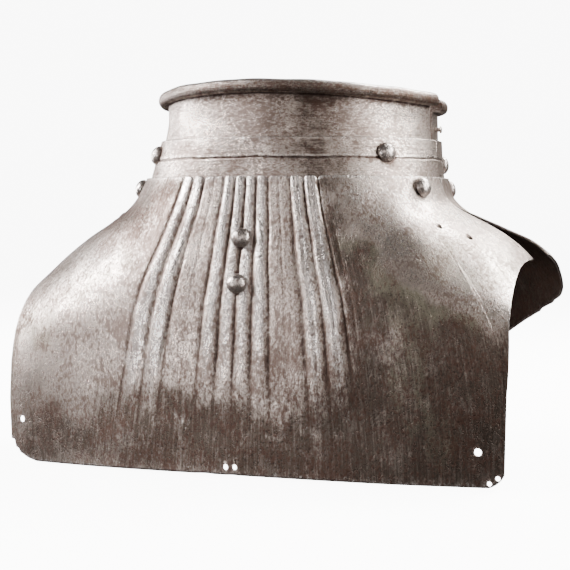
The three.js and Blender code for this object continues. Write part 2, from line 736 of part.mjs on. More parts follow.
const pivotTop = spread(front.sheet, pivotNeck, pivotShare, 14, 0.2, pivotSeat, pivotNormal, tabRadius * 1.1).high;
const pivotUnder = spread(front.sheet, pivotNeck, pivotShare, 9, 0.1, pivotSeat, pivotNormal, innerHeadRadius).low;
const toBack = pivotFromEnd + frontEndSet + backEndSet;
const tabLow = pivotTop + tabLift;
const tabHigh = tabLow + plateThickness;

// The tab: a flat tongue with a round end over the front plate, stepped down onto the back plate
function pivotTab() {
  const tongue = new THREE.Shape();
  tongue.absarc(0, 0, tabRadius, Math.PI, 2 * Math.PI, false);
  tongue.lineTo(tabRadius, toBack + tabReach);
  tongue.lineTo(-tabRadius, toBack + tabReach);
  tongue.closePath();
  const root = new THREE.Shape();
  root.moveTo(-tabRadius, toBack + 1);
  root.lineTo(tabRadius, toBack + 1);
  root.lineTo(tabRadius, toBack + tabReach);
  root.lineTo(-tabRadius, toBack + tabReach);
  root.closePath();
  return pivotPrism(tongue, tabLow, tabHigh).add(pivotPrism(root, -2 * plateThickness, tabHigh - 0.01));
}

// What the back plate leaves free outside its tab, so that it swings clear of the front plate
function swingClearance() {
  const reach = backHalfWidth;
  const free = new THREE.Shape();
  free.moveTo(-tabRadius, toBack - tabReach);
  free.lineTo(-tabRadius, toBack + 1);
  free.lineTo(-tabRadius - reach, toBack + 1 + reach * Math.tan(swingCut * degrees));
  free.lineTo(-tabRadius - reach, toBack - tabReach);
  free.closePath();
  return pivotPrism(free, -tabReach * 4, tabReach * 4);
}
pieces.back_plate = pieces.back_plate.subtract(swingClearance()).add(pivotTab());
fitRivet("pivot_rivet", pivotHead, pivotSeat, pivotNormal, tabHigh, pivotUnder - plateThickness,
  ["back_plate", "front_plate"]);

// The closing stud: a short pin with a flat head, standing on the back collar
function closingStud() {
  const azimuth = Math.acos((backEndSet + stud.fromEnd) / collarHalfWidth);
  const height = mix(necklineHeight, rimRoot, stud.up);
  const point = neckPoint(backNeck, 1, azimuth, height, 0);
  const outwards = new THREE.Vector3(Math.sin(azimuth), Math.cos(azimuth), 0);
  const inside = -plateThickness - seatGap;
  pieces.back_collar = pieces.back_collar.subtract(pin(point, outwards, stud.radius + holeClearance, 8));
  const profile = [
    [0, inside - innerHeadRise],
    [stud.headRadius, inside - innerHeadRise],
    [stud.headRadius, inside],
    [stud.radius, inside],
    [stud.radius, stud.rise - stud.headRise],
    [stud.headRadius, stud.rise - stud.headRise],
    [stud.headRadius * 0.9, stud.rise],
    [0, stud.rise],
  ].map(([x, y]) => new THREE.Vector2(x, y));
  addMesh("closing_stud", placed(new THREE.LatheGeometry(profile, 10), point, outwards), darkSteel);
}
closingStud();

for (const [name, solid] of Object.entries(pieces)) addMesh(name, geometryOf(solid), steel);

// The part's origin is the middle of its footprint, on the surface that it stands on
const box = new THREE.Box3().setFromObject(centred);
centred.position.set(-(box.min.x + box.max.x) / 2, -(box.min.y + box.max.y) / 2, -box.min.z);
const gorget = new THREE.Group();
gorget.name = "gorget";
gorget.add(centred);

export default gorget;
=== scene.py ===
import math

import bpy
import numpy as np
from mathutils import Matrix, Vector


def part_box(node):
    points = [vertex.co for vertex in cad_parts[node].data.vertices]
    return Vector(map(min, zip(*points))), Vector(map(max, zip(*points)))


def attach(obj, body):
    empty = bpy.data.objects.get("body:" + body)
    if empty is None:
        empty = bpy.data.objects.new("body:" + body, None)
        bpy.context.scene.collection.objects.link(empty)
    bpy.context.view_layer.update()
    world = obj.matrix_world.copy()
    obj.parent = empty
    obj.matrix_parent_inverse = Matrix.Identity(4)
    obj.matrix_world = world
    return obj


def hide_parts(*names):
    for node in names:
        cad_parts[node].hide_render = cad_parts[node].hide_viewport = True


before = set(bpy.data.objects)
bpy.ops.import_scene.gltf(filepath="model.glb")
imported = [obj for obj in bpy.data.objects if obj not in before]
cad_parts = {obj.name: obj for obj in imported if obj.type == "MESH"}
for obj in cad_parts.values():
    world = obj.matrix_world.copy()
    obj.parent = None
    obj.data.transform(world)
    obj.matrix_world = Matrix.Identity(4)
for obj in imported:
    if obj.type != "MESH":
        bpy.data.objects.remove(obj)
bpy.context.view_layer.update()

MM = 0.001

# Sheet and fits, in millimetres
plate_thickness = 1.3
lap_gap = 0.9
layer = plate_thickness + lap_gap
seat_gap = 0.3
hole_clearance = 0.45
edge_round = 0.3

# Heights
neckline_height = 157.5
lame_top = neckline_height + 21
rim_root = lame_top + 17.5
back_rim_drop = 3
lap_depth = 14
back_collar_lap = 18
tip_height = 121
wing_height = 90
front_hem_arch = 1.6

# Half widths and reaches
collar_half = 76.5
front_half_width = 144
front_reach = 102.4
front_tip_inset = 10.5
front_foot_inset = 0.6
widest_height = 56
corner_radius = 9
back_half_width = front_half_width - 0.5
back_reach = 111
tongue_taper = 0.32
tongue_flat = 13
front_end_set = 3.6
back_end_set = 1.6

# Turned rim
turn_radius = 4.5
bead_radius = 2.9
bead_half_height = 3.7
rim_rise = 4.8

# The neck tube: up, side, depth and squareness
front_neck = np.array([
    (-0.4, 1.062, 1.012, 2.65),
    (0, 1.05, 1, 2.5),
    (0.25, 1.035, 1, 2.3),
    (0.52, 1.015, 1.004, 2.1),
    (0.8, 1, 1, 2),
    (1.2, 1, 1, 2),
])
back_neck = np.array([
    (-0.4, 1.03, 1.03, 2.2),
    (0, 1.012, 1.015, 2.1),
    (0.25, 1.006, 1.01, 2.05),
    (0.52, 1.002, 1.006, 2),
    (0.8, 1, 1, 2),
    (1.2, 1, 1, 2),
])

# The main plates' rings: side out, side down, middle out, middle down and squareness
front_rings = np.array([
    (0, 0, 0, 0, 2.5),
    (0.02, 0.05, 0.045, 0.05, 2.8),
    (0.1, 0.103, 0.13, 0.117, 3),
    (0.4, 0.148, 0.205, 0.181, 2.8),
    (0.8, 0.243, 0.33, 0.251, 2.6),
    (1.14, 0.422, 0.47, 0.32, 3.1),
    (1.9, 0.57, 0.61, 0.416, 2.8),
    (2.25, 0.714, 0.75, 0.568, 2.55),
    (2.45, 0.841, 0.865, 0.746, 2.3),
    (2.55, 0.924, 0.935, 0.886, 2.15),
    (2.625, 1.065, 1.042, 1.065, 2),
])
back_rings = np.array([
    (0, 0, 0, 0, 2.1),
    (0.012, 0.048, 0.04, 0.05, 2.1),
    (0.07, 0.09, 0.12, 0.11, 2.15),
    (0.3, 0.124, 0.26, 0.19, 2.2),
    (0.62, 0.184, 0.42, 0.28, 2.3),
    (0.94, 0.225, 0.58, 0.385, 2.35),
    (1.11, 0.325, 0.74, 0.54, 2.35),
    (1.17, 0.49, 0.86, 0.72, 2.3),
    (1.2, 0.7, 0.95, 0.87, 2.3),
    (1.22, 1.065, 1.02, 1.065, 2.3),
])
front_fan = np.array([
    (0, 0), (4.4, 6.2), (9.1, 12.6), (17.6, 24.5), (22.7, 30.5), (27.7, 36.5), (60, 60), (90, 90),
])
back_fan = np.array([(0, 0), (90, 90)])

# Flutes: azimuth at the neckline, half width and depth of each groove, then the ridges between
grooves = [
    (0, 0.5, 0.45), (4.4, 0.5, 0.5), (9.1, 0.52, 0.62),
    (17.6, 0.52, 0.62), (22.7, 0.5, 0.5), (27.7, 0.52, 0.6),
]
ridges = [(0, 4.4, 0.65), (4.4, 9.1, 0.75), (17.6, 22.7, 0.8), (22.7, 27.7, 0.8)]
creases = [
    (20.3, 0.42, 0.34), (25.3, 0.42, 0.34), (-20.6, 0.4, 0.14),
    (-13.2, 0.4, 0.12), (13.4, 0.4, 0.14), (30.4, 0.45, 0.2),
]
flute_fade = 0.66
flute_end = 0.95

# The camera of the photograph: its frame, and where the neck's axis and the eye's level lie in it
photo_size = 570
axis_across = 303
level_down = 216
focal = 1750
camera_azimuth = math.radians(22)
camera_distance = 1000
camera_height = 136.5

neck_y = (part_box("front_collar")[0][1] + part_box("back_collar")[1][1]) / 2 / MM


def mix(a, b, share):
    return a + (b - a) * share


def smooth(low, high, value):
    share = np.clip((value - low) / (high - low), 0, 1)
    return share * share * (3 - 2 * share)


def unit(vectors):
    return vectors / np.maximum(np.linalg.norm(vectors, axis=-1, keepdims=True), 1e-12)


def ripples(seed, count, shortest, longest):
    """A smooth random field over points in millimetres, about one high, of waves between two lengths."""
    chance = np.random.default_rng(seed)
    ways = unit(chance.normal(size=(count, 3)))
    waves = ways * (2 * math.pi / chance.uniform(shortest, longest, (count, 1)))
    phases = chance.uniform(0, 2 * math.pi, count)
    return lambda points: np.sin(points @ waves.T + phases).sum(-1) * math.sqrt(1 / count)


def oval_radius(azimuth, side, depth, square):
    across = np.abs(np.sin(azimuth)) / side
    along = np.abs(np.cos(azimuth)) / depth
    return (across**square + along**square) ** (-1 / square)


def neck_point(rows, facing, azimuth, height, outwards):
    """A point of the neck tube, moved outwards from the collar's outer side."""
    up = (height - neckline_height) / (rim_root - neckline_height)
    side = collar_half * np.interp(up, rows[:, 0], rows[:, 1])
    depth = collar_half * np.interp(up, rows[:, 0], rows[:, 2])
    square = np.interp(up, rows[:, 0], rows[:, 3])
    radius = oval_radius(azimuth, side, depth, square) + outwards
    height = height + 0 * radius
    return np.stack([radius * np.sin(azimuth), facing * radius * np.cos(azimuth), height], -1)


def rings_of(shares, rows, half_width, reach):
    side, depth = collar_half * np.array([np.interp(0, rows[:, 0], rows[:, k]) for k in (1, 2)])
    return np.stack([
        mix(side + 2 * layer, half_width, shares[:, 0]),
        neckline_height * (1 - shares[:, 1]),
        mix(depth + 2 * layer, reach, shares[:, 2]),
        neckline_height * (1 - shares[:, 3]),
        shares[:, 4],
    ], -1)


def spline_weights(t, count):
    """Weights of a clamped cubic spline with count control rows."""
    spans = count - 3
    knots = np.clip(np.arange(count + 4) - 3, 0, spans).astype(float)
    v = np.minimum(np.clip(t, 0, 1) * spans, spans - 1e-9)[..., None]
    weights = ((knots[:-1] <= v) & (v < knots[1:])).astype(float)
    for degree in (1, 2, 3):
        n = len(knots) - 1 - degree
        rise = knots[degree:degree + n] - knots[:n]
        fall = knots[degree + 1:degree + 1 + n] - knots[1:1 + n]
        left = np.where(rise > 0, (v - knots[:n]) / np.where(rise > 0, rise, 1), 0)
        right = np.where(fall > 0, (knots[degree + 1:degree + 1 + n] - v) / np.where(fall > 0, fall, 1), 0)
        weights = left * weights[..., :n] + right * weights[..., 1:1 + n]
    return weights


def ring_point(rings, facing, azimuth, t):
    weights = spline_weights(t, len(rings))
    around = azimuth[..., None]
    radius = (weights * oval_radius(around, rings[:, 0], rings[:, 2], rings[:, 4])).sum(-1)
    height = (weights * mix(rings[:, 1], rings[:, 3], np.cos(around))).sum(-1)
    return np.stack([radius * np.sin(azimuth), facing * radius * np.cos(azimuth), height], -1)


def plate_surface(rings, facing, fan, end_set, draw_back):
    """A main plate's smooth sheet: from azimuth at the neckline and share of the way down to a point."""
    steps = np.linspace(0, 1, 401)
    side_x = ring_point(rings, facing, np.full(401, math.pi / 2), steps)[:, 0]
    squeeze = np.arccos(end_set / side_x) / (math.pi / 2)
    drawn_end = end_set + draw_back * (1 - smooth(0, 0.45, steps))
    further = np.arccos(drawn_end / side_x) / (math.pi / 2) - squeeze

    def bare(neck, t):
        edge = np.sign(neck) * np.interp(np.abs(neck), fan[:, 0], fan[:, 1])
        share = np.interp(t, steps, squeeze) + np.interp(t, steps, further) * smooth(50, 90, np.abs(neck))
        return ring_point(rings, facing, np.radians(mix(neck, edge, t) * share), t)

    return bare


def surface_normal(bare, facing, neck, t):
    step = 5e-4
    along_u = bare(neck + 0.02, t) - bare(neck - 0.02, t)
    along_v = bare(neck, t + step) - bare(neck, t - step)
    normal = unit(np.cross(along_u, along_v))
    outwards = np.stack([np.sin(np.radians(neck)), facing * np.cos(np.radians(neck)), 0.5 + 0 * neck], -1)
    return normal * np.sign((normal * outwards).sum(-1, keepdims=True))


def flute_relief(neck, t):
    a = np.abs(neck)
    sink = smooth(-0.02, 0.015, t)
    relief = 0 * a
    for middle, width, depth in grooves:
        relief = relief - sink * depth * np.exp(-(((a - middle) / width) ** 2))
    for middle, width, depth in creases:
        relief = relief - sink * depth * np.exp(-(((neck - middle) / width) ** 2))
    for k, (start, end, height) in enumerate(ridges):
        share = np.clip((a - start) / (end - start), 0, 1)
        unsteady = 1 + 0.34 * np.sin(9 * t + 2.1 * k + 1.3 * np.sign(neck)) + 0.2 * np.sin(23 * t + 1.7 * k)
        relief = relief + height * unsteady * np.sin(math.pi * share) ** 0.8
    return relief * (1 - smooth(flute_fade, flute_end, t))


# Darker along the flutes' grooves and creases: partly grime, partly painted shadow.
def groove_mark(neck, t):
    a = np.abs(neck)
    mark = 0 * a
    for middle, width, depth in grooves:
        mark = np.maximum(mark, np.exp(-(((a - middle) / (width * 0.8)) ** 2)))
    for middle, width, depth in creases:
        mark = np.maximum(mark, 2 * depth * np.exp(-(((neck - middle) / (width * 0.8)) ** 2)))
    return mark * (1 - smooth(flute_fade + 0.1, flute_end + 0.08, t))


# Lighter along the ridge tops: painted highlights, broken up like wear.
def crest_mark(neck, t):
    a = np.abs(neck)
    mark = 0 * a
    for start, end, height in ridges:
        share = np.clip((a - start) / (end - start), 0, 1)
        mark = np.maximum(mark, np.sin(math.pi * share) ** 1.6)
    return mark * (1 - smooth(flute_fade, flute_end, t))


# Outlines: how far a point lies outside, positive where the plate is cut away

def outside_corner(beside, below, radius):
    a = beside + radius
    b = below + radius
    return np.where((a > 0) & (b > 0), np.hypot(a, b) - radius, np.maximum(beside, below))


edge_wave = ripples(11, 14, 7, 40)
corner_break = np.array([
    (0, 126), (0.8, 130), (2.2, 133.4), (4.2, 135.8), (4.6, 136.9), (7.2, 137.4), (7.6, 139.2),
    (11.8, 139.9), (12.3, 142.9), (15.5, 150),
])


def outside_front(p):
    height = p[..., 2]
    up = np.maximum(0, height - widest_height) / (tip_height - widest_height)
    down = np.maximum(0, widest_height - height) / widest_height
    limit = front_half_width - front_tip_inset * up**2 - front_foot_inset * down**2
    step = 0.7 * smooth(57.6, 56.9, height) * smooth(30, 46, height)
    nick = 0.4 * smooth(29.4, 28.8, height)
    broken = np.minimum(limit - nick, np.interp(height, corner_break[:, 0], corner_break[:, 1]))
    limit = np.where(p[..., 0] < 0, broken, limit - step)
    share = np.minimum(1, np.abs(p[..., 0]) / (0.72 * front_half_width))
    hem = front_hem_arch * (1 - share**2) ** 2
    wave = 0.16 * edge_wave(p)
    lip = edge_round + np.where(share < 0.99, wave * (1 - share), 0) + np.abs(wave) * 0.5
    radius = np.where(p[..., 0] < 0, corner_radius, corner_radius + 3)
    return outside_corner(np.abs(p[..., 0]) - limit, hem - height, radius) + lip


def outside_back(p):
    share = np.clip((np.abs(p[..., 0]) - tongue_flat) / (back_half_width - tongue_flat), 0, 1)
    hem = wing_height * share**2 * (1 + tongue_taper) / (share**2 + tongue_taper)
    notch = 1.1 * smooth(121, 122.5, p[..., 0]) + 1.2 * smooth(131, 132.5, p[..., 0])
    wave = 0.16 * edge_wave(p)
    return outside_corner(np.abs(p[..., 0]) - back_half_width, hem + notch - p[..., 2], corner_radius) + (
        edge_round + np.abs(wave))


def column_ends(bare, outside, necks):
    """The share of the way down at which each column leaves the outline."""
    shares = np.arange(0.12, 0.985, 0.01)
    left = outside(bare(necks[:, None] + 0 * shares, shares + 0 * necks[:, None])) >= 0
    first = np.where(left.any(1), left.argmax(1), len(shares) - 1)
    low = shares[np.maximum(first - 1, 0)]
    high = shares[first]
    for _ in range(26):
        middle = (low + high) / 2
        inside = outside(bare(necks, middle)) < 0
        low = np.where(inside, middle, low)
        high = np.where(inside, high, middle)
    return low


# Meshes

def solid_volume(points, faces):
    a, b, c = points[faces[:, 0]], points[faces[:, 1]], points[faces[:, 2]]
    volume = np.einsum("ij,ij->i", a, np.cross(b, c)).sum()
    if faces.shape[1] == 4:
        d = points[faces[:, 3]]
        volume += np.einsum("ij,ij->i", a, np.cross(c, d)).sum()
    return volume / 6


def placed(points):
    """Points in millimetres round the neck's axis, put where the frame has them, in metres."""
    return (points + np.array([0, neck_y, 0])) * MM


def baked_mesh(obj, name):
    """The mesh that an object's modifiers leave."""
    mesh = bpy.data.meshes.new_from_object(obj.evaluated_get(bpy.context.evaluated_depsgraph_get()))
    mesh.name = name
    return mesh


def linked(name, data):
    obj = bpy.data.objects.new(name, data)
    bpy.context.scene.collection.objects.link(obj)
    return obj


def store(mesh, label, values):
    """Keeps a number or a vector for each point of a mesh."""
    is_vector = values.ndim == 2
    attribute = mesh.attributes.new(label, "FLOAT_VECTOR" if is_vector else "FLOAT", "POINT")
    attribute.data.foreach_set("vector" if is_vector else "value", values.astype(np.float32).ravel())


def mesh_object(name, points, faces, marks, ends=()):
    """A closed mesh from points in millimetres round the neck's axis, with its marks and any end caps."""
    if solid_volume(points, faces) < 0:
        faces = faces[:, ::-1]
        ends = [end[::-1] for end in ends]
    mesh = bpy.data.meshes.new(name)
    mesh.from_pydata(placed(points).tolist(), [], faces.tolist() + [end.tolist() for end in ends])
    for label, values in marks.items():
        store(mesh, label, values)
    return linked(name, mesh)


def sheet_body(name, outer, inner, marks):
    """A steel sheet as one closed body with rounded edges, from grids of outer and inner points."""
    rows, columns = outer.shape[:2]
    at = np.arange(rows * columns).reshape(rows, columns)
    border = [(0, j) for j in range(columns)]
    border += [(i, columns - 1) for i in range(1, rows)]
    border += [(rows - 1, j) for j in range(columns - 2, -1, -1)]
    border += [(i, 0) for i in range(rows - 2, 0, -1)]
    border = np.array(border)
    within = np.stack([np.clip(border[:, 0], 1, rows - 2), np.clip(border[:, 1], 1, columns - 2)], -1)
    edge_outer = outer[border[:, 0], border[:, 1]]
    edge_inner = inner[border[:, 0], border[:, 1]]
    outwards = unit(edge_outer - outer[within[:, 0], within[:, 1]])
    nose = (edge_outer + edge_inner) / 2 + outwards * edge_round
    points = np.concatenate([outer.reshape(-1, 3), inner.reshape(-1, 3), nose])
    count = rows * columns
    quads = np.stack([at[:-1, :-1], at[1:, :-1], at[1:, 1:], at[:-1, 1:]], -1).reshape(-1, 4)
    loop = at[border[:, 0], border[:, 1]]
    after = np.roll(loop, -1)
    nose_at = 2 * count + np.arange(len(loop))
    nose_after = np.roll(nose_at, -1)
    faces = np.concatenate([
        quads,
        quads[:, ::-1] + count,
        np.stack([loop, after, nose_after, nose_at], -1),
        np.stack([nose_at, nose_after, after + count, loop + count], -1),
    ])
    spread = {}
    for label, values in marks.items():
        flat = values.reshape(count, -1) if values.ndim == 3 else values.reshape(count)
        spread[label] = np.concatenate([flat, flat, flat[loop]])
    spread["inside"] = np.concatenate([np.zeros(count), np.ones(count), np.zeros(len(loop))])
    return mesh_object(name, points, faces, spread)


def swept_body(name, points, marks):
    """A closed section, swept along columns and capped at both ends."""
    columns, around = points.shape[:2]
    at = np.arange(columns * around).reshape(columns, around)
    turned = np.roll(at, -1, axis=1)
    faces = np.stack([at[:-1], turned[:-1], turned[1:], at[1:]], -1).reshape(-1, 4)
    return mesh_object(name, points.reshape(-1, 3), faces, marks, [at[0][::-1], at[-1]])


def circle_round(axis, steps):
    """A circle of radius one, square to an axis, and the axis at length one."""
    axis = unit(np.array(axis, float))
    helper = (0, 0, 1) if abs(axis[2]) < 0.9 else (1, 0, 0)
    across = unit(np.cross(helper, axis))
    along = np.cross(axis, across)
    turn = np.linspace(0, 2 * math.pi, steps, endpoint=False)
    return np.outer(np.cos(turn), across) + np.outer(np.sin(turn), along), axis


def rod(centre, axis, radius, length, steps=26):
    """Points and faces of a round rod."""
    ring, axis = circle_round(axis, steps)
    low = centre + ring * radius - axis * length / 2
    high = centre + ring * radius + axis * length / 2
    points = np.concatenate([low, high, [centre - axis * length / 2], [centre + axis * length / 2]])
    k = np.arange(steps)
    after = (k + 1) % steps
    faces = [(a, b, b + steps, a + steps) for a, b in zip(k, after)]
    faces += [(b, a, 2 * steps, 2 * steps) for a, b in zip(k, after)]
    faces += [(a + steps, b + steps, 2 * steps + 1, 2 * steps + 1) for a, b in zip(k, after)]
    return points, faces


def tool_object(name, solids):
    """Several closed solids as one object that cuts or joins another."""
    points = []
    faces = []
    for solid_points, solid_faces in solids:
        start = len(points)
        points += [tuple(placed(np.array(p))) for p in solid_points]
        faces += [tuple(dict.fromkeys(int(k) + start for k in face)) for face in solid_faces]
    mesh = bpy.data.meshes.new(name)
    mesh.from_pydata(points, [], faces)
    mesh.update()
    return linked(name, mesh)


def worked(obj, operation, solids):
    """Cuts the solids out of a body, or joins them to it, and leaves a plain mesh."""
    tool = tool_object("tool", solids)
    cut = obj.modifiers.new("work", "BOOLEAN")
    cut.operation = operation
    cut.solver = "MANIFOLD"
    cut.object = tool
    mesh = baked_mesh(obj, obj.name)
    obj.modifiers.remove(cut)
    old = obj.data
    obj.data = mesh
    bpy.data.meshes.remove(old)
    bpy.data.objects.remove(tool)


def finish_piece(obj, body, nodes, material):
    mesh = obj.data
    mesh.polygons.foreach_set("use_smooth", np.ones(len(mesh.polygons), bool))
    mesh.set_sharp_from_angle(angle=math.radians(74))
    mesh.materials.clear()
    mesh.materials.append(material)
    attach(obj, body)
    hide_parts(*nodes)
    return obj


# Stains, painted shade and painted highlights, charted where the photograph shows them

def seen_at(points):
    """Where a point lies in the photograph, across and down."""
    nearer = points[..., 0] * math.sin(camera_azimuth) - points[..., 1] * math.cos(camera_azimuth)
    across = points[..., 0] * math.cos(camera_azimuth) + points[..., 1] * math.sin(camera_azimuth)
    scale = focal / (camera_distance - nearer)
    below_eye = camera_height - points[..., 2]
    return np.stack([axis_across + across * scale, level_down + below_eye * scale], -1)


def stroke_mark(places, strokes):
    """How strongly strokes cover places. A stroke is its points, its half width and its strength."""
    total = np.zeros(places.shape[:-1])
    for points, width, strength in strokes:
        points = np.array(points, float)
        ends = points[1:] if len(points) > 1 else points
        nearest = np.full(total.shape, 1e9)
        for a, b in zip(points, ends):
            span = b - a
            share = np.clip(((places - a) @ span) / max(span @ span, 1e-9), 0, 1)
            nearest = np.minimum(nearest, np.linalg.norm(places - a - share[..., None] * span, axis=-1))
        total = total + strength * np.exp(-((nearest / width) ** 2))
    return np.clip(total, 0, 1)


# The first list paints shade: the dark reflection band beside the right highlight, the upper left shoulder
# and the dark bands on the collar are painted shade, and the darker lower band is partly brown tarnish and
# partly painted shade.
strokes = {"shade": [
    ([(330, 205), (348, 250), (374, 296), (420, 328), (505, 345)], 23, 1.0),
    ([(352, 270), (356, 350), (380, 420)], 24, 0.6),
    ([(430, 350), (500, 375)], 34, 0.75),
    ([(470, 400), (420, 440)], 34, 0.6),
    ([(152, 190), (104, 234), (30, 292), (12, 340)], 25, 0.95),
    ([(340, 400), (480, 400)], 44, 0.5),
    ([(237, 220), (240, 262)], 14, 0.4),
    ([(15, 458), (90, 446), (160, 456), (320, 484), (500, 478)], 44, 0.78),
    ([(30, 405), (60, 420), (130, 408), (230, 425)], 20, 0.45),
    ([(215, 432), (330, 438), (500, 430)], 36, 0.5),
    ([(180, 185), (230, 190)], 8, 0.25),
    ([(305, 95), (305, 132), (325, 172)], 18, 0.75),
    ([(166, 110), (180, 135)], 10, 0.45),
    ([(425, 110), (420, 140)], 12, 0.45),
# The next list paints highlights where the lamps' reflections fall: on the left slope, the upper flutes,
# the right shoulder and the collar, with a few small glints low on the plate.
], "gleam": [
    ([(70, 250), (60, 320), (60, 380)], 44, 0.75),
    ([(120, 260), (130, 350)], 34, 0.6),
    ([(205, 215), (190, 300), (165, 370)], 24, 0.6),
    ([(262, 200), (262, 330)], 16, 0.5),
    ([(200, 188), (325, 190)], 13, 0.75),
    ([(312, 205), (322, 300)], 14, 0.5),
    ([(356, 192), (425, 205), (470, 245), (510, 290)], 26, 0.9),
    ([(358, 210), (385, 250)], 20, 0.7),
    ([(395, 240), (440, 285), (500, 305)], 24, 0.7),
    ([(205, 112), (285, 118)], 22, 0.7),
    ([(345, 112), (415, 120)], 18, 0.6),
    ([(187, 430)], 6, 0.9),
    ([(268, 440)], 5, 0.8),
    ([(305, 443)], 5, 0.8),
    ([(330, 445)], 5, 0.7),
], "rust": [
    ([(300, 360), (480, 440)], 60, 0.25),
    ([(60, 440), (300, 470)], 40, 0.25),
    ([(165, 200), (160, 240)], 16, 0.7),
    ([(128, 215), (110, 245)], 16, 0.6),
    ([(140, 280), (120, 330)], 22, 0.45),
    ([(23, 330), (14, 365)], 10, 0.6),
    ([(235, 300), (270, 345)], 30, 0.4),
    ([(240, 150), (180, 152)], 10, 0.55),
    ([(340, 110), (400, 150)], 22, 0.35),
    ([(250, 112), (280, 120)], 24, 0.4),
    ([(200, 230), (215, 300)], 20, 0.35),
], "film": [
    ([(360, 245), (385, 290), (430, 318), (480, 326)], 14, 0.6),
    ([(130, 255), (85, 285), (30, 330)], 14, 0.5),
    ([(440, 250), (500, 275)], 26, 0.6),
    ([(395, 330), (430, 430)], 30, 0.45),
]}
chart_wave_across = ripples(21, 18, 14, 60)
chart_wave_down = ripples(22, 18, 14, 60)


def charts(points):
    """Rust, film, painted shade and painted highlights of a front piece's points, with wandering borders;
    the shade mark also darkens a halo round each rivet head.
    """
    wander = 9 * np.stack([chart_wave_across(points), chart_wave_down(points)], -1)
    places = seen_at(points) + wander
    facing = (points[..., 1] < 6).astype(float)
    halo = np.zeros(facing.shape)
    for rivet in rivets.values():
        off = np.linalg.norm(points - rivet["seat"], axis=-1) - rivet["radius"]
        halo = np.maximum(halo, np.exp(-((np.maximum(off, 0) / 1.7) ** 2)))
    marks = {kind: stroke_mark(places, rows) * facing for kind, rows in strokes.items()}
    marks["shade"] = np.maximum(marks["shade"], halo)
    return marks


def bare_of_stains_and_light(like):
    return {kind: 0 * like for kind in strokes}


# Node trees

class Wiring:
    """Adds nodes to a tree and joins them."""

    def __init__(self, tree):
        self.tree = tree

    def add(self, kind, inputs=None, **settings):
        node = self.tree.nodes.new(kind)
        for key, value in settings.items():
            setattr(node, key, value)
        for key, value in (inputs or {}).items():
            if isinstance(value, bpy.types.NodeSocket):
                self.tree.links.new(value, node.inputs[key])
            else:
                node.inputs[key].default_value = value
        return node

    def math(self, operation, a, b=0.0, clamp=False):
        return self.add("ShaderNodeMath", {0: a, 1: b}, operation=operation, use_clamp=clamp).outputs[0]

    def vector(self, operation, a, b):
        return self.add("ShaderNodeVectorMath", {0: a, 1: b}, operation=operation).outputs[0]

    def scaled(self, a, amount):
        return self.add("ShaderNodeVectorMath", {0: a, "Scale": amount}, operation="SCALE").outputs[0]

    def spread(self, value, low, high, start=0.0, end=1.0):
        inputs = {"Value": value, "From Min": low, "From Max": high, "To Min": start, "To Max": end}
        return self.add("ShaderNodeMapRange", inputs, interpolation_type="SMOOTHSTEP").outputs[0]

    def blend(self, share, a, b):
        node = self.add("ShaderNodeMix", {0: share, 6: a, 7: b}, data_type="RGBA")
        return node.outputs[2]

    def between(self, share, a, b):
        return self.add("ShaderNodeMix", {0: share, 2: a, 3: b}, data_type="FLOAT").outputs[0]

    def noise(self, place, scale, detail=4.0, rough=0.6):
        inputs = {"Vector": place, "Scale": scale, "Detail": detail, "Roughness": rough}
        return self.add("ShaderNodeTexNoise", inputs).outputs[0]


def new_group(name, inputs, outputs):
    tree = bpy.data.node_groups.new(name, "ShaderNodeTree")
    kinds = {"value": "NodeSocketFloat", "colour": "NodeSocketColor", "vector": "NodeSocketVector"}
    for label, kind, value in inputs:
        socket = tree.interface.new_socket(label, in_out="INPUT", socket_type=kinds[kind])
        if value is not None:
            socket.default_value = value
    for label, kind in outputs:
        tree.interface.new_socket(label, in_out="OUTPUT", socket_type=kinds[kind])
    wires = Wiring(tree)
    start = wires.add("NodeGroupInput").outputs
    end = wires.add("NodeGroupOutput")
    return tree, wires, start, end


def soft_patches():
    """Patches of a size, that cover a share of the surface."""
    inputs = [
        ("Place", "vector", None), ("Size", "value", 3.0),
        ("Cover", "value", 0.5), ("Softness", "value", 0.2),
    ]
    tree, w, given, out = new_group("soft patches", inputs, [("Mask", "value")])
    noise = w.noise(given["Place"], w.math("DIVIDE", 1.0, given["Size"]), 5.0, 0.62)
    raised = w.math("MULTIPLY", w.math("SUBTRACT", given["Cover"], 0.5), 0.55)
    lifted = w.math("ADD", w.math("SUBTRACT", noise, 0.5), raised)
    mask = w.math("ADD", w.math("DIVIDE", lifted, given["Softness"]), 0.5, clamp=True)
    w.tree.links.new(mask, out.inputs["Mask"])
    return tree


def fine_pits():
    """Small round corrosion pits that stand in clusters."""
    tree, w, given, out = new_group(
        "fine pits",
        [("Place", "vector", None), ("Size", "value", 1.2), ("Cover", "value", 0.3)],
        [("Mask", "value")],
    )
    fineness = w.math("DIVIDE", 1.0, given["Size"])
    cells = w.add("ShaderNodeTexVoronoi", {"Vector": given["Place"], "Scale": fineness})
    dot = w.spread(cells.outputs["Distance"], 0.44, 0.16)
    cluster = w.noise(given["Place"], w.math("DIVIDE", 0.11, given["Size"]), 3.0, 0.6)
    lifted = w.math("ADD", cluster, w.math("MULTIPLY", w.math("SUBTRACT", given["Cover"], 0.5), 0.5))
    here = w.spread(lifted, 0.5, 0.62)
    random = w.add("ShaderNodeSeparateColor", {0: cells.outputs["Color"]}).outputs[0]
    chance = w.math("LESS_THAN", random, 0.62)
    mask = w.math("MULTIPLY", w.math("MULTIPLY", dot, here), chance)
    w.tree.links.new(mask, out.inputs["Mask"])
    return tree


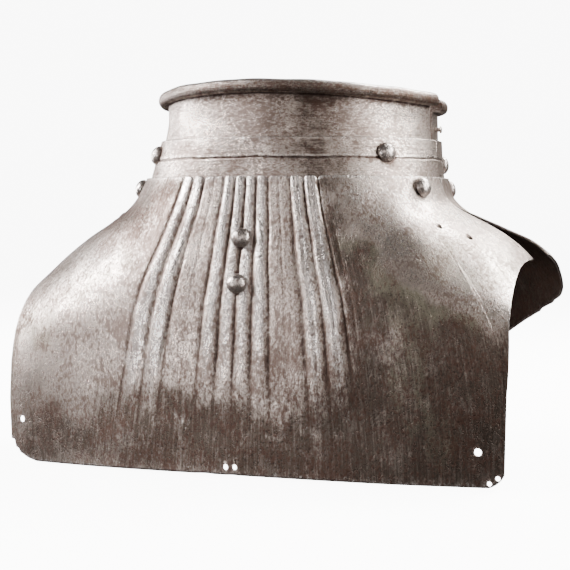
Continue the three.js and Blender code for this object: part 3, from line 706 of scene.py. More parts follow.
def drawn_lines():
    """Fine lines that follow the sheet, as from filing and wiping."""
    tree, w, given, out = new_group(
        "drawn lines",
        [("Sheet", "vector", None), ("Around", "value", 1.0), ("Down", "value", 0.05)],
        [("Lines", "value")],
    )
    stretch = w.add("ShaderNodeCombineXYZ", {"X": given["Around"], "Y": given["Down"], "Z": 1.0}).outputs[0]
    place = w.vector("MULTIPLY", given["Sheet"], stretch)
    w.tree.links.new(w.noise(place, 1.0, 3.0, 0.65), out.inputs["Lines"])
    return tree


patches_group = soft_patches()
pits_group = fine_pits()
lines_group = drawn_lines()


def use_group(w, tree, inputs):
    return w.add("ShaderNodeGroup", inputs, node_tree=tree)


def aged_steel():
    """Bare steel gone brown in patches, thick with rust specks, with pits and a dull film; painted shade
    darkens it where the shade and groove marks lie, and painted highlights lighten it where the highlight
    and crest marks lie.
    """
    inputs = [
        ("Place", "vector", None), ("Sheet", "vector", None), ("Squeeze", "vector", (1.15, 1.15, 0.6)),
        # The bright colour paints highlights on crests and bright places as well as edge wear.
        ("Clean", "colour", (0.67, 0.585, 0.535, 1)), ("Bright", "colour", (0.95, 0.91, 0.89, 1)),
        # The dark brown colour also takes painted shade, and the darkest colour also paints shadow in
        # grooves, the incised line and the rim's foot.
        ("Tarnish and Shade", "colour", (0.088, 0.069, 0.057, 1)), ("Dirt and Shadow", "colour", (0.03, 0.021, 0.017, 1)),
        ("Rust", "colour", (0.088, 0.04, 0.028, 1)), ("Film", "colour", (0.3, 0.29, 0.22, 1)),
        ("Cover", "value", 0.4), ("Specks", "value", 0.4), ("Smoothness", "value", 0.34),
        ("Line Around", "value", 1.0), ("Line Down", "value", 0.05), ("Line Strength", "value", 0.5),
        ("Shade Mark", "value", 0.0), ("Gleam Mark", "value", 0.0), ("Rust Mark", "value", 0.0),
        ("Film Mark", "value", 0.0), ("Groove Mark", "value", 0.0), ("Crest Mark", "value", 0.0),
        ("Edge Mark", "value", 0.0), ("Inside Mark", "value", 0.0),
    ]
    outputs = [("Color", "colour"), ("Roughness", "value"), ("Metallic", "value"), ("Height", "value")]
    tree, w, given, out = new_group("aged steel", inputs, outputs)
    place = given["Place"]

    def sum_of(start, weights):
        for label, weight in weights:
            start = w.math("ADD", start, w.math("MULTIPLY", given[label], weight))
        return start

    tall = w.vector("MULTIPLY", place, given["Squeeze"])

    def patches(size, cover, softness):
        values = {"Place": tall, "Size": size, "Cover": cover, "Softness": softness}
        return use_group(w, patches_group, values).outputs[0]

    # Painted shade: the shade and groove marks raise this cover; painted highlights: the highlight and
    # crest marks lower it.
    cover = sum_of(given["Cover"], (
        ("Shade Mark", 0.5), ("Groove Mark", 0.2), ("Inside Mark", 0.35), ("Gleam Mark", -0.3),
        ("Crest Mark", -0.3), ("Edge Mark", -0.2)))
    broad = patches(15.0, cover, 0.3)
    middling = patches(3.4, cover, 0.24)
    small = patches(1.1, cover, 0.26)
    tarnish_and_shade = w.math("ADD", w.math("MULTIPLY", broad, 0.34), w.math("MULTIPLY", middling, 0.34))
    tarnish_and_shade = w.math("ADD", tarnish_and_shade, w.math("MULTIPLY", small, 0.32), clamp=True)
    lines = use_group(w, lines_group, {
        "Sheet": given["Sheet"], "Around": given["Line Around"], "Down": given["Line Down"]})
    streak = w.math("MULTIPLY", w.math("SUBTRACT", lines.outputs[0], 0.5), given["Line Strength"])
    tarnish_and_shade = w.math("ADD", tarnish_and_shade, streak, clamp=True)

    freckle_cover = sum_of(
        given["Specks"], (("Rust Mark", 0.2), ("Shade Mark", -0.1), ("Groove Mark", 0.15)))
    crowd = w.math("MULTIPLY", w.math("SUBTRACT", w.noise(place, 0.06, 3.0, 0.6), 0.5), 0.7)
    freckle_cover = w.math("ADD", freckle_cover, crowd)
    freckle_cover = w.math("SUBTRACT", freckle_cover, w.math("MULTIPLY", given["Crest Mark"], 0.1))
    freckles = patches(1.9, freckle_cover, 0.08)
    dust = patches(0.9, w.math("ADD", freckle_cover, 0.05), 0.12)
    blots = patches(3.2, sum_of(0.12, (("Rust Mark", 0.34),)), 0.1)
    specks = w.math("MAXIMUM", w.math("MULTIPLY", freckles, 0.72), w.math("MULTIPLY", dust, 0.6))
    specks = w.math("MAXIMUM", specks, w.math("MULTIPLY", blots, 0.75))

    stir = w.add("ShaderNodeTexNoise", {"Vector": place, "Scale": 0.5, "Detail": 2.0}).outputs[1]
    stirred = w.vector("ADD", place, w.scaled(stir, 1.6))
    pit_cover = w.math("ADD", w.math("MULTIPLY", cover, 0.6), 0.12)
    wide_pits, fine = (
        use_group(w, pits_group, {"Place": stirred, "Size": size, "Cover": share}).outputs[0]
        for size, share in ((2.1, pit_cover), (1.0, w.math("ADD", pit_cover, 0.1))))
    pits = w.math("MAXIMUM", w.math("MULTIPLY", wide_pits, 0.8), fine)
    # Grime and painted shadow: darker along the grooves, the incised line and the rim's foot, and a little
    # on the inside.
    grime_and_shadow = patches(1.9, sum_of(-0.1, (("Groove Mark", 0.85), ("Inside Mark", 0.2))), 0.45)
    # Partly edge wear, partly painted highlights on the crest and highlight marks.
    worn_and_highlight_cover = sum_of(-0.02, (("Crest Mark", 0.72), ("Edge Mark", 0.62), ("Gleam Mark", 0.34)))
    worn_and_highlight = patches(1.7, worn_and_highlight_cover, 0.24)
    film = patches(7.0, w.math("SUBTRACT", w.math("MULTIPLY", given["Film Mark"], 1.2), 0.1), 0.4)

    # Brown patches with painted shade, then wear with painted highlights, the film, rust specks, and pits
    # with grime and painted shadow.
    colour = w.blend(tarnish_and_shade, given["Clean"], given["Tarnish and Shade"])
    colour = w.blend(w.math("MULTIPLY", worn_and_highlight, 0.8), colour, given["Bright"])
    colour = w.blend(w.math("MULTIPLY", film, 0.5), colour, given["Film"])
    colour = w.blend(specks, colour, given["Rust"])
    colour = w.blend(w.math("MULTIPLY", w.math("MAXIMUM", pits, grime_and_shadow), 0.66), colour, given["Dirt and Shadow"])
    grain = w.noise(place, 1.9, 3.0, 0.7)
    grained = w.spread(grain, 0.3, 0.7, 0.8, 1.14)
    colour = w.scaled(colour, grained)

    rough = w.between(tarnish_and_shade, given["Smoothness"], w.math("ADD", given["Smoothness"], 0.15))
    rough = w.math("SUBTRACT", rough, w.math("MULTIPLY", worn_and_highlight, 0.05))
    rough = w.math("ADD", rough, w.math("MULTIPLY", w.math("MAXIMUM", specks, pits), 0.2))
    rough = w.math("ADD", rough, w.math("MULTIPLY", w.math("SUBTRACT", grain, 0.5), 0.16))
    rough = w.math("ADD", rough, w.math("MULTIPLY", film, 0.1), clamp=True)
    metal = w.between(tarnish_and_shade, 1.0, 0.88)
    metal = w.math("SUBTRACT", metal, w.math("MULTIPLY", specks, 0.25), clamp=True)
    height = w.math("MULTIPLY", pits, -0.12)
    height = w.math("SUBTRACT", height, w.math("MULTIPLY", middling, 0.05))
    height = w.math("ADD", height, w.math("MULTIPLY", specks, 0.06))
    height = w.math("ADD", height, w.math("MULTIPLY", grain, 0.07))
    height = w.math("ADD", height, w.math("MULTIPLY", streak, 0.08))
    for label, value in (("Color", colour), ("Roughness", rough), ("Metallic", metal), ("Height", height)):
        w.tree.links.new(value, out.inputs[label])
    return tree


steel_group = aged_steel()


def steel_material(name, values, marked=True):
    """One finish of the aged steel, with its own colours and amounts."""
    material = bpy.data.materials.new(name)
    material.use_nodes = True
    tree = material.node_tree
    tree.nodes.clear()
    w = Wiring(tree)
    here = w.add("ShaderNodeTexCoord").outputs["Object"]
    place = w.add("ShaderNodeMapping", {"Vector": here, "Scale": (1000, 1000, 1000)}).outputs[0]
    inputs = {"Place": place}
    if marked:
        inputs["Sheet"] = w.add("ShaderNodeAttribute", attribute_name="sheet").outputs["Vector"]
        # Of these marks, shade and groove carry painted shade, and the highlight and crest marks carry
        # painted highlights.
        for label in ("shade", "gleam", "rust", "film", "groove", "crest", "edge", "inside"):
            mark = w.add("ShaderNodeAttribute", attribute_name=label).outputs["Fac"]
            inputs[label.capitalize() + " Mark"] = mark
    else:
        inputs["Sheet"] = place
    inputs.update(values)
    steel = use_group(w, steel_group, inputs)
    bump = w.add("ShaderNodeBump", {"Height": steel.outputs["Height"], "Strength": 1.0, "Distance": MM})
    shader = w.add("ShaderNodeBsdfPrincipled", {
        "Base Color": steel.outputs["Color"], "Roughness": steel.outputs["Roughness"],
        "Metallic": steel.outputs["Metallic"], "Normal": bump.outputs[0],
    })
    w.add("ShaderNodeOutputMaterial", {"Surface": shader.outputs[0]})
    return material


def finish_values(cover, specks, smoothness, around, down, strength):
    return {
        "Cover": cover, "Specks": specks, "Smoothness": smoothness,
        "Line Around": around, "Line Down": down, "Line Strength": strength,
    }


breast_steel = steel_material("breast steel", finish_values(0.34, 0.42, 0.27, 1.1, 0.035, 0.8))
collar_steel = steel_material("collar steel", finish_values(0.31, 0.41, 0.26, 0.035, 1.3, 0.9) | {
    "Squeeze": (0.72, 0.72, 1.5)})
back_steel = steel_material("back steel", finish_values(0.6, 0.44, 0.31, 0.4, 0.02, 0.4))
rivet_steel = steel_material("rivet steel", finish_values(0.27, 0.34, 0.25, 0.3, 0.3, 0.1) | {
    "Clean": (0.74, 0.68, 0.65, 1)}, marked=False)


# Rivets, found on the axes of the frame's own

def rivet_ends(name):
    """The two ends of a rivet's axis, in millimetres round the neck's axis, the head's first."""
    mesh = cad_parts[name].data
    points = np.empty(len(mesh.vertices) * 3, np.float32)
    mesh.vertices.foreach_get("co", points)
    points = points.reshape(-1, 3) / MM
    corners = np.empty(len(mesh.loops), np.int32)
    mesh.loops.foreach_get("vertex_index", corners)
    places, counts = np.unique(np.round(points[corners], 2), axis=0, return_counts=True)
    ends = places[np.argsort(counts)[-2:]].astype(float) - np.array([0, neck_y, 0])
    far = np.linalg.norm(ends[:, :2], axis=1)
    return ends[np.argmax(far)], ends[np.argmin(far)]


shank_radius = 2.2
inner_head_radius = 4
inner_head_rise = 0.9
tall_head = (5.4, 4.2)
low_head = (5.1, 3.4)
pivot_head = (4.8, 2.2)
rivets = {}
for node_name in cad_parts:
    if "rivet" in node_name:
        top, bottom = rivet_ends(node_name)
        radius, rise = low_head if node_name.startswith("back") else tall_head
        if node_name.startswith("pivot"):
            radius, rise = pivot_head
        axis = unit(top - bottom)
        length = np.linalg.norm(top - bottom)
        rivets[node_name] = {
            "seat": top - axis * rise, "axis": axis, "radius": radius, "rise": rise,
            "depth": length - rise - inner_head_rise,
        }


def rivet_holes(*starts):
    """Holes for the shanks of the rivets whose names start so."""
    solids = []
    for name in rivets:
        if not name.startswith(starts):
            continue
        rivet = rivets[name]
        middle = rivet["seat"] - rivet["axis"] * rivet["depth"] / 2
        solids.append(rod(middle, rivet["axis"], shank_radius + hole_clearance, rivet["depth"] + 4))
    return solids


def rivet_tree(material):
    """Geometry Nodes: on every seat a domed rivet, its shank through the plates and its peened end."""
    tree = bpy.data.node_groups.new("domed rivets", "GeometryNodeTree")
    face = tree.interface
    face.new_socket("Seats", in_out="INPUT", socket_type="NodeSocketGeometry")
    for label in ("Shank Radius", "Inner Radius", "Inner Rise", "Hammering", "Grain"):
        face.new_socket(label, in_out="INPUT", socket_type="NodeSocketFloat")
    face.new_socket("Seed", in_out="INPUT", socket_type="NodeSocketInt")
    face.new_socket("Rivets", in_out="OUTPUT", socket_type="NodeSocketGeometry")
    w = Wiring(tree)
    given = w.add("NodeGroupInput").outputs

    def stored(label, kind="FLOAT"):
        return w.add("GeometryNodeInputNamedAttribute", {"Name": label}, data_type=kind).outputs[0]

    axis = stored("axis", "FLOAT_VECTOR")
    radius = stored("radius")
    rise = stored("rise")
    depth = stored("depth")
    turn = w.add("FunctionNodeAlignRotationToVector", {"Vector": axis}, axis="Z").outputs[0]
    position = w.add("GeometryNodeInputPosition").outputs[0]
    split = w.add("ShaderNodeSeparateXYZ", {0: position}).outputs

    def dome(segments, rings, floor, upward):
        size = {"Segments": segments, "Rings": rings, "Radius": 1.0}
        ball = w.add("GeometryNodeMeshUVSphere", size).outputs[0]
        flat = w.math("MAXIMUM" if upward else "MINIMUM", split[2], floor)
        place = w.add("ShaderNodeCombineXYZ", {0: split[0], 1: split[1], 2: flat}).outputs[0]
        return w.add("GeometryNodeSetPosition", {"Geometry": ball, "Position": place}).outputs[0]

    def on_seats(form, seats, scale):
        inputs = {"Points": seats, "Instance": form, "Rotation": turn, "Scale": scale}
        return w.add("GeometryNodeInstanceOnPoints", inputs).outputs[0]

    head_scale = w.add("ShaderNodeCombineXYZ", {0: radius, 1: radius, 2: rise}).outputs[0]
    heads = on_seats(dome(44, 26, -0.06, True), given["Seats"], head_scale)
    below = w.vector("SUBTRACT", position, w.scaled(axis, depth))
    low_seats = w.add("GeometryNodeSetPosition", {"Geometry": given["Seats"], "Position": below}).outputs[0]
    inner_scale = w.add("ShaderNodeCombineXYZ", {
        0: given["Inner Radius"], 1: given["Inner Radius"], 2: given["Inner Rise"]}).outputs[0]
    inner = on_seats(dome(28, 12, 0.04, False), low_seats, inner_scale)
    half = w.scaled(axis, w.math("MULTIPLY", depth, 0.5))
    middle = w.add("GeometryNodeSetPosition", {
        "Geometry": given["Seats"], "Position": w.vector("SUBTRACT", position, half)}).outputs[0]
    pin = w.add("GeometryNodeMeshCylinder", {"Vertices": 24, "Radius": 1.0, "Depth": 1.0}).outputs[0]
    pin_scale = w.add("ShaderNodeCombineXYZ", {
        0: given["Shank Radius"], 1: given["Shank Radius"], 2: w.math("ADD", depth, 0.0004)}).outputs[0]
    shanks = on_seats(pin, middle, pin_scale)
    joined = w.add("GeometryNodeJoinGeometry")
    for part in (heads, inner, shanks):
        tree.links.new(part, joined.inputs[0])
    solid = w.add("GeometryNodeRealizeInstances", {"Geometry": joined.outputs[0]}).outputs[0]
    normal = w.add("GeometryNodeInputNormal").outputs[0]
    dent_inputs = {"Vector": position, "W": given["Seed"], "Scale": given["Grain"], "Detail": 2.0}
    dents = w.add("ShaderNodeTexNoise", dent_inputs, noise_dimensions="4D")
    depth_of_dents = w.math("MULTIPLY", w.math("SUBTRACT", dents.outputs[0], 0.55), given["Hammering"])
    push = w.scaled(normal, depth_of_dents)
    hammered = w.add("GeometryNodeSetPosition", {"Geometry": solid, "Offset": push}).outputs[0]
    dressed = w.add("GeometryNodeSetMaterial", {"Geometry": hammered, "Material": material}).outputs[0]
    w.add("NodeGroupOutput", {"Rivets": dressed})
    return tree


rivets_tree = rivet_tree(rivet_steel)


def rivet_set(name, body, names, seed):
    """One mesh with all the rivets of a body."""
    mesh = bpy.data.meshes.new(name + " seats")
    mesh.from_pydata([tuple(placed(rivets[key]["seat"])) for key in names], [], [])
    store(mesh, "axis", np.array([rivets[key]["axis"] for key in names]))
    for label in ("radius", "rise", "depth"):
        store(mesh, label, np.array([rivets[key][label] * MM for key in names]))
    obj = linked(name, mesh)
    modifier = obj.modifiers.new("rivets", "NODES")
    modifier.node_group = rivets_tree
    values = {
        "Shank Radius": shank_radius * MM, "Inner Radius": inner_head_radius * MM,
        "Inner Rise": inner_head_rise * MM, "Hammering": 0.5 * MM, "Grain": 260.0, "Seed": seed,
    }
    for item in rivets_tree.interface.items_tree:
        if item.name in values:
            modifier[item.identifier] = values[item.name]
    done = baked_mesh(obj, name)
    obj.modifiers.remove(modifier)
    obj.data = done
    bpy.data.meshes.remove(mesh)
    return finish_piece(obj, body, names, rivet_steel)


# Main plates

dent_waves = ripples(31, 26, 24, 62)
fine_waves = ripples(32, 26, 7, 18)
plate_dent = 0.3
shoulder_draw = 4.5
notch_share = 0.009


def plate_body(name, rings, facing, fan, necks, downs, outside, fluted, end_set, dent):
    bare = plate_surface(rings, facing, fan, end_set, shoulder_draw if fluted else 0)
    ends = column_ends(bare, outside, necks)
    starts = 0 * necks
    if fluted:
        for middle, _, _ in grooves:
            starts = np.maximum(starts, notch_share * np.exp(-(((np.abs(necks) - middle) / 0.7) ** 2)))
    t = starts + downs[:, None] * (ends - starts)[None, :]
    neck = necks[None, :] + 0 * t
    base = bare(neck, t)
    normal = surface_normal(bare, facing, neck, t)
    lift = dent * dent_waves(base) + 0.05 * fine_waves(base)
    if fluted:
        wander = neck + 0.34 * fine_waves(base * 0.25) * smooth(0, 0.3, t)
        lift = lift + flute_relief(wander, t)
    outer = base + normal * lift[..., None]
    inner = outer - normal * plate_thickness
    inner[-1, :, 2] = outer[-1, :, 2]
    steps = np.linalg.norm(np.diff(outer, axis=0), axis=-1)
    down = np.concatenate([np.zeros((1, len(necks))), np.cumsum(steps, axis=0)])
    from_edge = np.minimum(down, down[-1] - down)
    from_end = np.radians(90 - np.abs(neck)) * np.linalg.norm(base[..., :2], axis=-1)
    around = np.radians(neck) * 95
    marks = {
        "sheet": np.stack([around, down, 0 * down], -1),
        "edge": np.exp(-np.minimum(from_edge, from_end) / 1.1),
        "groove": groove_mark(neck, t) if fluted else 0 * t,
        "crest": crest_mark(neck, t) if fluted else 0 * t,
    }
    marks.update(charts(outer) if fluted else bare_of_stains_and_light(t))
    return sheet_body(name, outer, inner, marks)


def both_sides(half):
    return np.concatenate([-half[:0:-1], half])


def rows_down(count):
    """Shares of the way down a plate, closer together at its two edges."""
    return np.concatenate([[0, 0.002], np.linspace(0.01, 0.99, int(count / coarse)), [0.998, 1]])


coarse = 1.0
front_half_columns = np.concatenate([
    np.arange(0, 31, 0.36 * coarse), np.arange(31, 53, 0.9 * coarse), np.arange(53, 65, 0.4 * coarse),
    np.arange(65, 89.6, 0.9 * coarse), [89.75, 90],
])
front_columns = both_sides(front_half_columns)
front_plate = plate_body(
    "front_plate_fluted", rings_of(front_rings, front_neck, front_half_width, front_reach), -1, front_fan,
    front_columns, rows_down(104), outside_front, True, front_end_set, plate_dent,
)

# Holes by the foot's corners: side, inset, height and radius; in the hem: place, height and radius
corner_holes = [(1, 14.5, 18.5, 2.0), (-1, 9.5, 23.5, 1.9), (1, 4.6, 5.4, 1.35), (1, 8.6, 2.7, 1.3)]
hem_holes = [(-2.5, 5.8, 1.6), (2.7, 6.0, 1.5)]
# In the shoulder: inset, how far forward, and radius
shoulder_holes = [(36, 48, 1.7), (22, 40, 1.9), (5.5, 6, 1.4)]


def front_limit(height):
    down = max(0, widest_height - height) / widest_height
    return front_half_width - front_foot_inset * down**2


front_cuts = rivet_holes("front_plate", "middle", "pivot")
foot_holes = [(side * (front_limit(up) - inset), up, radius) for side, inset, up, radius in corner_holes]
for x, up, radius in foot_holes + hem_holes:
    front_cuts.append(rod(np.array([x, -front_reach * 0.85, up]), (0, 1, 0), radius, front_reach * 0.7))
for inset, forward, radius in shoulder_holes:
    x = front_half_width - front_tip_inset - inset
    height = (widest_height + neckline_height) / 2
    rise = neckline_height - widest_height
    front_cuts.append(rod(np.array([x, -forward - front_end_set, height]), (0, 0, 1), radius, rise))
worked(front_plate, "DIFFERENCE", front_cuts)
finish_piece(front_plate, "front_half", ["front_plate"], breast_steel)

back_columns = both_sides(np.concatenate([np.arange(0, 89.6, 0.8 * coarse), [89.75, 90]]))
back_plate = plate_body(
    "back_plate_tongued", rings_of(back_rings, back_neck, back_half_width, back_reach), 1, back_fan,
    back_columns, rows_down(90), outside_back, False, back_end_set, plate_dent,
)

# The tab over the wearer's right shoulder, which turns on the pivot
pivot = rivets["pivot_rivet"]
pivot_normal = pivot["axis"]
tab_across = unit(np.array([1.0, 0, 0]) - pivot_normal * pivot_normal[0])
tab_along = np.cross(pivot_normal, tab_across)
tab_top = pivot["seat"] - pivot_normal * seat_gap
tab_radius = 9.5
tab_reach = 10
to_back = 10 + front_end_set + back_end_set
swing_cut = math.radians(36)


def pivot_place(across, along, up):
    return tab_top + tab_across * across + tab_along * along + pivot_normal * up


def pivot_prism(outline, low, high):
    """A flat outline in the pivot's plane, between two heights."""
    points = [pivot_place(a, s, low) for a, s in outline] + [pivot_place(a, s, high) for a, s in outline]
    n = len(outline)
    faces = [tuple(range(n - 1, -1, -1)), tuple(range(n, 2 * n))]
    faces += [(k, (k + 1) % n, (k + 1) % n + n, k + n) for k in range(n)]
    return np.array(points), faces


def tab_solid():
    """The tab as rows across it: round at its end, stepped down and faded into the plate at its root."""
    length = to_back + tab_reach
    starts = -tab_radius * np.cos(np.linspace(0.12, math.pi / 2, 14))
    stations = np.concatenate([starts, np.linspace(0.8, length, 26)])
    rows = []
    for s in stations:
        half = math.sqrt(max(tab_radius**2 - min(s, 0) ** 2, 0.04))
        sink = smooth(to_back + 1.5, to_back + 9.5, s) * 2.6
        under = -plate_thickness if s < to_back + 1 else -plate_thickness - 3.2
        soft = 0.32
        ring = [(-half, under + soft), (-half + soft, under), (half - soft, under), (half, under + soft),
                (half, -soft - sink), (half - soft, -sink), (-half + soft, -sink), (-half, -soft - sink)]
        rows.append([pivot_place(a, s, h) for a, h in ring])
    rows = np.array(rows)
    count = rows.shape[1]
    faces = []
    for i in range(len(rows) - 1):
        for k in range(count):
            a = i * count + k
            b = i * count + (k + 1) % count
            faces.append((a, a + count, b + count, b))
    faces.append(tuple(range(count)))
    faces.append(tuple((len(rows) - 1) * count + k for k in range(count - 1, -1, -1)))
    return rows.reshape(-1, 3), faces


reach = back_half_width
free_outline = [
    (-tab_radius, to_back - tab_reach), (-tab_radius, to_back + 1),
    (-tab_radius - reach, to_back + 1 + reach * math.tan(swing_cut)),
    (-tab_radius - reach, to_back - tab_reach),
]
worked(back_plate, "DIFFERENCE", [pivot_prism(free_outline, -44, 44)])
worked(back_plate, "UNION", [tab_solid()])
worked(back_plate, "DIFFERENCE", rivet_holes("back_plate", "pivot"))
finish_piece(back_plate, "back_half", ["back_plate"], back_steel)


# Neck lames and collars

def neck_columns(end_set, steps):
    end = math.acos(end_set / collar_half)
    inner = np.linspace(-end + 0.012, end - 0.012, steps)
    return np.concatenate([[-end, -end + 0.004], inner, [end - 0.004, end]])


incised_height = 167.4


def lame_body(name, rows, facing, end_set):
    azimuths = neck_columns(end_set, int(220 / coarse))
    bottom = neckline_height - lap_depth
    heights = np.concatenate([
        [lame_top - edge_round, lame_top - 0.7], np.linspace(lame_top - 1.6, incised_height + 3, 9),
        np.linspace(incised_height + 2.6, incised_height - 2.6, 19),
        np.linspace(incised_height - 3.2, bottom + 1, 16), [bottom + 0.6, bottom + edge_round],
    ])
    height, azimuth = np.meshgrid(heights, azimuths, indexing="ij")
    base = neck_point(rows, facing, azimuth, height, layer)
    waver = 0.2 * np.sin(azimuth * 9 + 1) + 0.12 * np.sin(azimuth * 23)
    from_line = height - incised_height - waver
    lift = -0.34 * np.exp(-((from_line / 0.42) ** 2))
    lift += 0.07 * np.exp(-(((np.abs(from_line) - 1.2) / 0.5) ** 2))
    lift += 0.14 * dent_waves(base) + 0.05 * fine_waves(base)
    outer = neck_point(rows, facing, azimuth, height, layer + lift)
    inner = neck_point(rows, facing, azimuth, height, layer - plate_thickness + 0.14 * dent_waves(base))
    from_edge = np.minimum(lame_top - height, height - bottom)
    marks = {
        "sheet": np.stack([azimuth * 80, lame_top - height, 0 * height], -1),
        "edge": np.exp(-from_edge / 1.0),
        # Painted shadow in the incised line and a painted highlight just below it.
        "groove": 0.8 * np.exp(-((from_line / 0.45) ** 2)),
        "crest": 0.6 * np.exp(-(((from_line - 1.3) / 0.6) ** 2)),
    }
    marks.update(charts(outer) if facing < 0 else bare_of_stains_and_light(height))
    return sheet_body(name, outer, inner, marks)


def collar_section(root, bottom):
    """Out and height of the collar's section: up its outside, round the rim and down its inside."""
    bead_up = root + turn_radius
    outer_wall = [(0.0, z) for z in np.linspace(bottom + 0.9, root - 0.4, 13)]
    neck_turn = [(0.02, root + 0.1), (0.1, root + 0.5), (0.34, root + 0.9), (0.78, root + 1.12)]
    bead = []
    for turn in np.radians(np.linspace(-118, 150, 34)):
        lip = 0.16 * math.exp(-(((math.degrees(turn) - 88) / 9) ** 2))
        bead.append((
            bead_radius + (bead_radius + lip) * math.cos(turn),
            bead_up + (bead_half_height + lip) * math.sin(turn),
        ))
    inside = [
        (-0.5, bead_up + 0.9), (-0.95, bead_up - 0.9), (-1.18, bead_up - 2.4), (-plate_thickness, root),
    ]
    inner_wall = [(-plate_thickness, z) for z in np.linspace(root - 3, bottom + 0.9, 11)]
    foot = [(-plate_thickness, bottom + 0.4), (-plate_thickness * 0.75, bottom + 0.05),
            (-plate_thickness * 0.25, bottom + 0.05), (0.0, bottom + 0.4)]
    return np.array(outer_wall + neck_turn + bead + inside + inner_wall + foot)


def collar_body(name, rows, facing, root, bottom, rise, end_set):
    section = collar_section(root, bottom)
    azimuths = neck_columns(end_set, int(220 / coarse))
    azimuth, out = np.meshgrid(azimuths, section[:, 0], indexing="ij")
    height = np.tile(section[:, 1], (len(azimuths), 1))
    wall_height = np.minimum(height, root)
    base = neck_point(rows, facing, azimuth, wall_height, out)
    dented = 0.16 * dent_waves(base) + 0.05 * fine_waves(base)
    swell = 0.12 * np.sin(azimuth * 11 + 2) + 0.1 * np.sin(azimuth * 19)
    on_bead = smooth(root + 0.5, root + 3, height)
    points = neck_point(rows, facing, azimuth, wall_height, out + dented - 0.15 * on_bead)
    lift = np.where(height >= root, rise * np.cos(azimuth) ** 2, 0)
    points[..., 2] = height + lift + on_bead * (swell - 0.2)
    top = root + turn_radius + bead_half_height
    marks = {
        "sheet": np.stack([azimuth * 80, top - height, 0 * height], -1).reshape(-1, 3),
        "edge": (np.exp(-np.abs(top - height) / 1.2) * (out > 1.5)).ravel(),
        # Painted shadow where the rim meets the wall, and a painted highlight along the rim's top.
        "groove": (np.exp(-(((height - root - 0.6) / 0.8) ** 2)) * (out > -0.1) * (out < 2.5)).ravel(),
        "crest": (0.9 * np.exp(-(((height - root - 8.3) / 0.9) ** 2)) * (out > 0.5)).ravel(),
        "inside": (out < -0.6).astype(float).ravel(),
    }
    stains_and_light = charts(points) if facing < 0 else bare_of_stains_and_light(height)
    # The rim's face is darker low down and lightens towards its top: partly its own tarnish, partly painted
    # shade under the roll.
    on_face = smooth(root + 0.8, root + 2, height) * (out > 0.5)
    brown = on_face * (0.9 - 0.5 * smooth(root + 5.5, root + 8, height))
    stains_and_light["shade"] = np.maximum(stains_and_light["shade"], brown)
    stains_and_light["rust"] = np.maximum(stains_and_light["rust"], on_face * 0.5)
    marks.update({kind: tone.ravel() for kind, tone in stains_and_light.items()})
    return swept_body(name, points, marks)


front_lame = lame_body("front_neck_lame_incised", front_neck, -1, front_end_set)
worked(front_lame, "DIFFERENCE", rivet_holes("front_lame", "front_plate"))
finish_piece(front_lame, "front_lame", ["front_lame"], collar_steel)
back_lame = lame_body("back_neck_lame_incised", back_neck, 1, back_end_set)
worked(back_lame, "DIFFERENCE", rivet_holes("back_lame", "back_plate"))
finish_piece(back_lame, "back_lame", ["back_lame"], collar_steel)

front_collar = collar_body(
    "front_collar_turned", front_neck, -1, rim_root, lame_top - lap_depth, rim_rise, front_end_set)
worked(front_collar, "DIFFERENCE", rivet_holes("front_lame"))
finish_piece(front_collar, "front_collar", ["front_collar"], collar_steel)

# The closing stud on the back collar
stud_azimuth = math.acos((back_end_set + 6) / collar_half)
stud_height = mix(neckline_height, rim_root, 0.7)
stud_seat = neck_point(back_neck, 1, np.array(stud_azimuth), np.array(stud_height), 0.0)
stud_axis = np.array([math.sin(stud_azimuth), math.cos(stud_azimuth), 0])
stud_radius = 1.3


def turned_piece(name, profile, seat, axis, steps):
    """A closed piece turned on a lathe: radius and height pairs from end to end."""
    ring, axis = circle_round(axis, steps)
    points = [seat + axis * profile[0][1]]
    for radius, height in profile[1:-1]:
        points += list(seat + ring * radius + axis * height)
    points.append(seat + axis * profile[-1][1])
    faces = []
    last = len(profile) - 3
    for k in range(steps):
        after = (k + 1) % steps
        faces.append((0, 1 + after, 1 + k))
        for i in range(last):
            a = 1 + i * steps
            faces.append((a + k, a + after, a + steps + after, a + steps + k))
        faces.append((1 + last * steps + k, 1 + last * steps + after, len(points) - 1))
    return tool_object(name, [(np.array(points), faces)])


back_collar = collar_body(
    "back_collar_turned", back_neck, 1, rim_root - back_rim_drop, lame_top - back_collar_lap, 0,
    back_end_set)
back_collar_cuts = rivet_holes("back_lame")
back_collar_cuts.append(rod(stud_seat, stud_axis, stud_radius + hole_clearance, 8))
worked(back_collar, "DIFFERENCE", back_collar_cuts)
finish_piece(back_collar, "back_collar", ["back_collar"], collar_steel)

inside_seat = -plate_thickness - seat_gap
stud_profile = [
    (0, inside_seat - 0.9), (1.5, inside_seat - 0.8), (1.95, inside_seat - 0.4), (1.9, inside_seat),
    (1.35, inside_seat + 0.05), (1.25, 0), (1.2, 2.3), (1.3, 2.72), (1.85, 2.85), (2.0, 3.1),
    (1.95, 3.5), (1.6, 3.8), (0.9, 3.95), (0, 4),
]
closing_stud = turned_piece("closing_stud_turned", stud_profile, stud_seat, stud_axis, 30)
finish_piece(closing_stud, "back_collar", ["closing_stud"], rivet_steel)

for k, (body, starts) in enumerate({
    "front_half": ("front_plate", "middle"), "front_lame": ("front_lame",),
    "back_half": ("back_plate", "pivot"), "back_lame": ("back_lame",),
}.items()):
    rivet_set(body + "_rivets", body, [n for n in rivets if n.startswith(starts)], 5 + k)


# Floor, light and camera

def plain_material(name, colour, roughness):
    material = bpy.data.materials.new(name)
    material.use_nodes = True
    shader = material.node_tree.nodes["Principled BSDF"]
    shader.inputs["Base Color"].default_value = colour
    shader.inputs["Roughness"].default_value = roughness
    return material


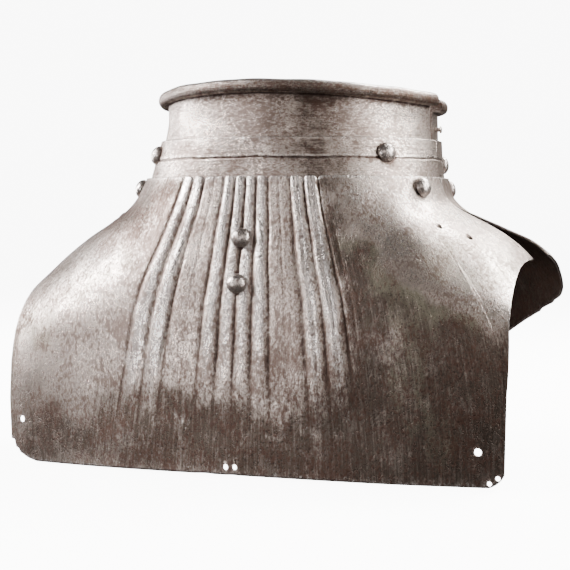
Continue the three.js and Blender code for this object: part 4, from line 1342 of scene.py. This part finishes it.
def floor_sheet():
    """A pale floor that rises far behind and round as a wall, without an edge."""
    profile = [
        (0.0, 0.0), (2.6, 0.0), (3.0, 0.05), (3.35, 0.2), (3.6, 0.45), (3.75, 0.8), (3.8, 1.2), (3.8, 4.0),
    ]
    steps = 48
    points = [(0.0, 0.0, 0.0)]
    faces = []
    for radius, height in profile[1:]:
        for k in range(steps):
            turn = 2 * math.pi * k / steps
            points.append((radius * math.cos(turn), radius * math.sin(turn), height))
    for k in range(steps):
        after = (k + 1) % steps
        faces.append((0, 1 + k, 1 + after))
        for row in range(len(profile) - 2):
            a = 1 + row * steps
            faces.append((a + k, a + steps + k, a + steps + after, a + after))
    mesh = bpy.data.meshes.new("floor")
    mesh.from_pydata(points, [], faces)
    mesh.polygons.foreach_set("use_smooth", np.ones(len(faces), bool))
    paper = plain_material("pale paper", (0.9, 0.9, 0.9, 1), 0.95)
    shader = paper.node_tree.nodes["Principled BSDF"]
    shader.inputs["Emission Color"].default_value = (1, 1, 1, 1)
    shader.inputs["Emission Strength"].default_value = 9.0
    mesh.materials.append(paper)
    obj = linked("floor", mesh)
    obj.location.z = -0.0002
    obj.visible_glossy = False
    obj.visible_diffuse = False
    return obj


floor_sheet()


def soft_light(name, place, target, width, height, power, colour=(1, 1, 1)):
    light = bpy.data.lights.new(name, "AREA")
    light.shape = "RECTANGLE"
    light.size = width
    light.size_y = height
    light.energy = power
    light.color = colour
    obj = linked(name, light)
    obj.location = place
    obj.rotation_euler = (Vector(target) - Vector(place)).to_track_quat("-Z", "Y").to_euler()
    return obj


middle = (0, 0, 0.11)
soft_light("left window", (-1.5, 0.42, 0.22), middle, 0.85, 0.6, 34, (1, 0.96, 0.94))
soft_light("high left", (-1.15, -0.4, 0.74), middle, 0.7, 0.55, 44, (1, 0.97, 0.95))
soft_light("overhead back", (0.4, 0.85, 1.1), middle, 0.75, 0.45, 42, (1, 0.985, 0.94))
soft_light("high right", (1.2, 0.3, 0.8), middle, 0.9, 0.6, 34, (1, 0.985, 0.94))
soft_light("front fill", (0.7, -1.75, 0.8), middle, 1.2, 0.8, 5, (1, 0.91, 0.85))
soft_light("low front left", (-0.62, -1.3, 0.16), (0, 0, 0.19), 0.42, 0.34, 4, (1, 0.96, 0.94))
soft_light("low right", (1.5, -0.12, 0.2), (0, 0, 0.19), 0.7, 0.5, 11, (1, 0.97, 0.94))

world = bpy.data.worlds.new("studio")
world.use_nodes = True
bpy.context.scene.world = world
world.node_tree.nodes.clear()
studio = Wiring(world.node_tree)
pale = studio.add("ShaderNodeBackground", {"Color": (1, 1, 1, 1), "Strength": 14.0})
dim = studio.add("ShaderNodeBackground", {"Color": (0.33, 0.3, 0.28, 1), "Strength": 0.3})
direct = studio.add("ShaderNodeLightPath").outputs["Is Camera Ray"]
both = studio.add("ShaderNodeMixShader", {0: direct, 1: dim.outputs[0], 2: pale.outputs[0]})
studio.add("ShaderNodeOutputWorld", {"Surface": both.outputs[0]})

camera = bpy.data.cameras.new("camera")
camera.sensor_width = 36
camera.lens = focal / photo_size * 36
camera_object = linked("camera", camera)
bpy.context.scene.camera = camera_object
right = Vector((math.cos(camera_azimuth), math.sin(camera_azimuth), 0))
ahead = Vector((-math.sin(camera_azimuth), math.cos(camera_azimuth), 0))
camera_object.location = Vector((0, neck_y * MM, camera_height * MM)) - ahead * camera_distance * MM
aside = (axis_across - photo_size / 2) / focal
downwards = (photo_size / 2 - level_down) / focal
look = ahead - right * aside - Vector((0, 0, downwards))
camera_object.rotation_euler = look.to_track_quat("-Z", "Y").to_euler()

bpy.context.view_layer.update()
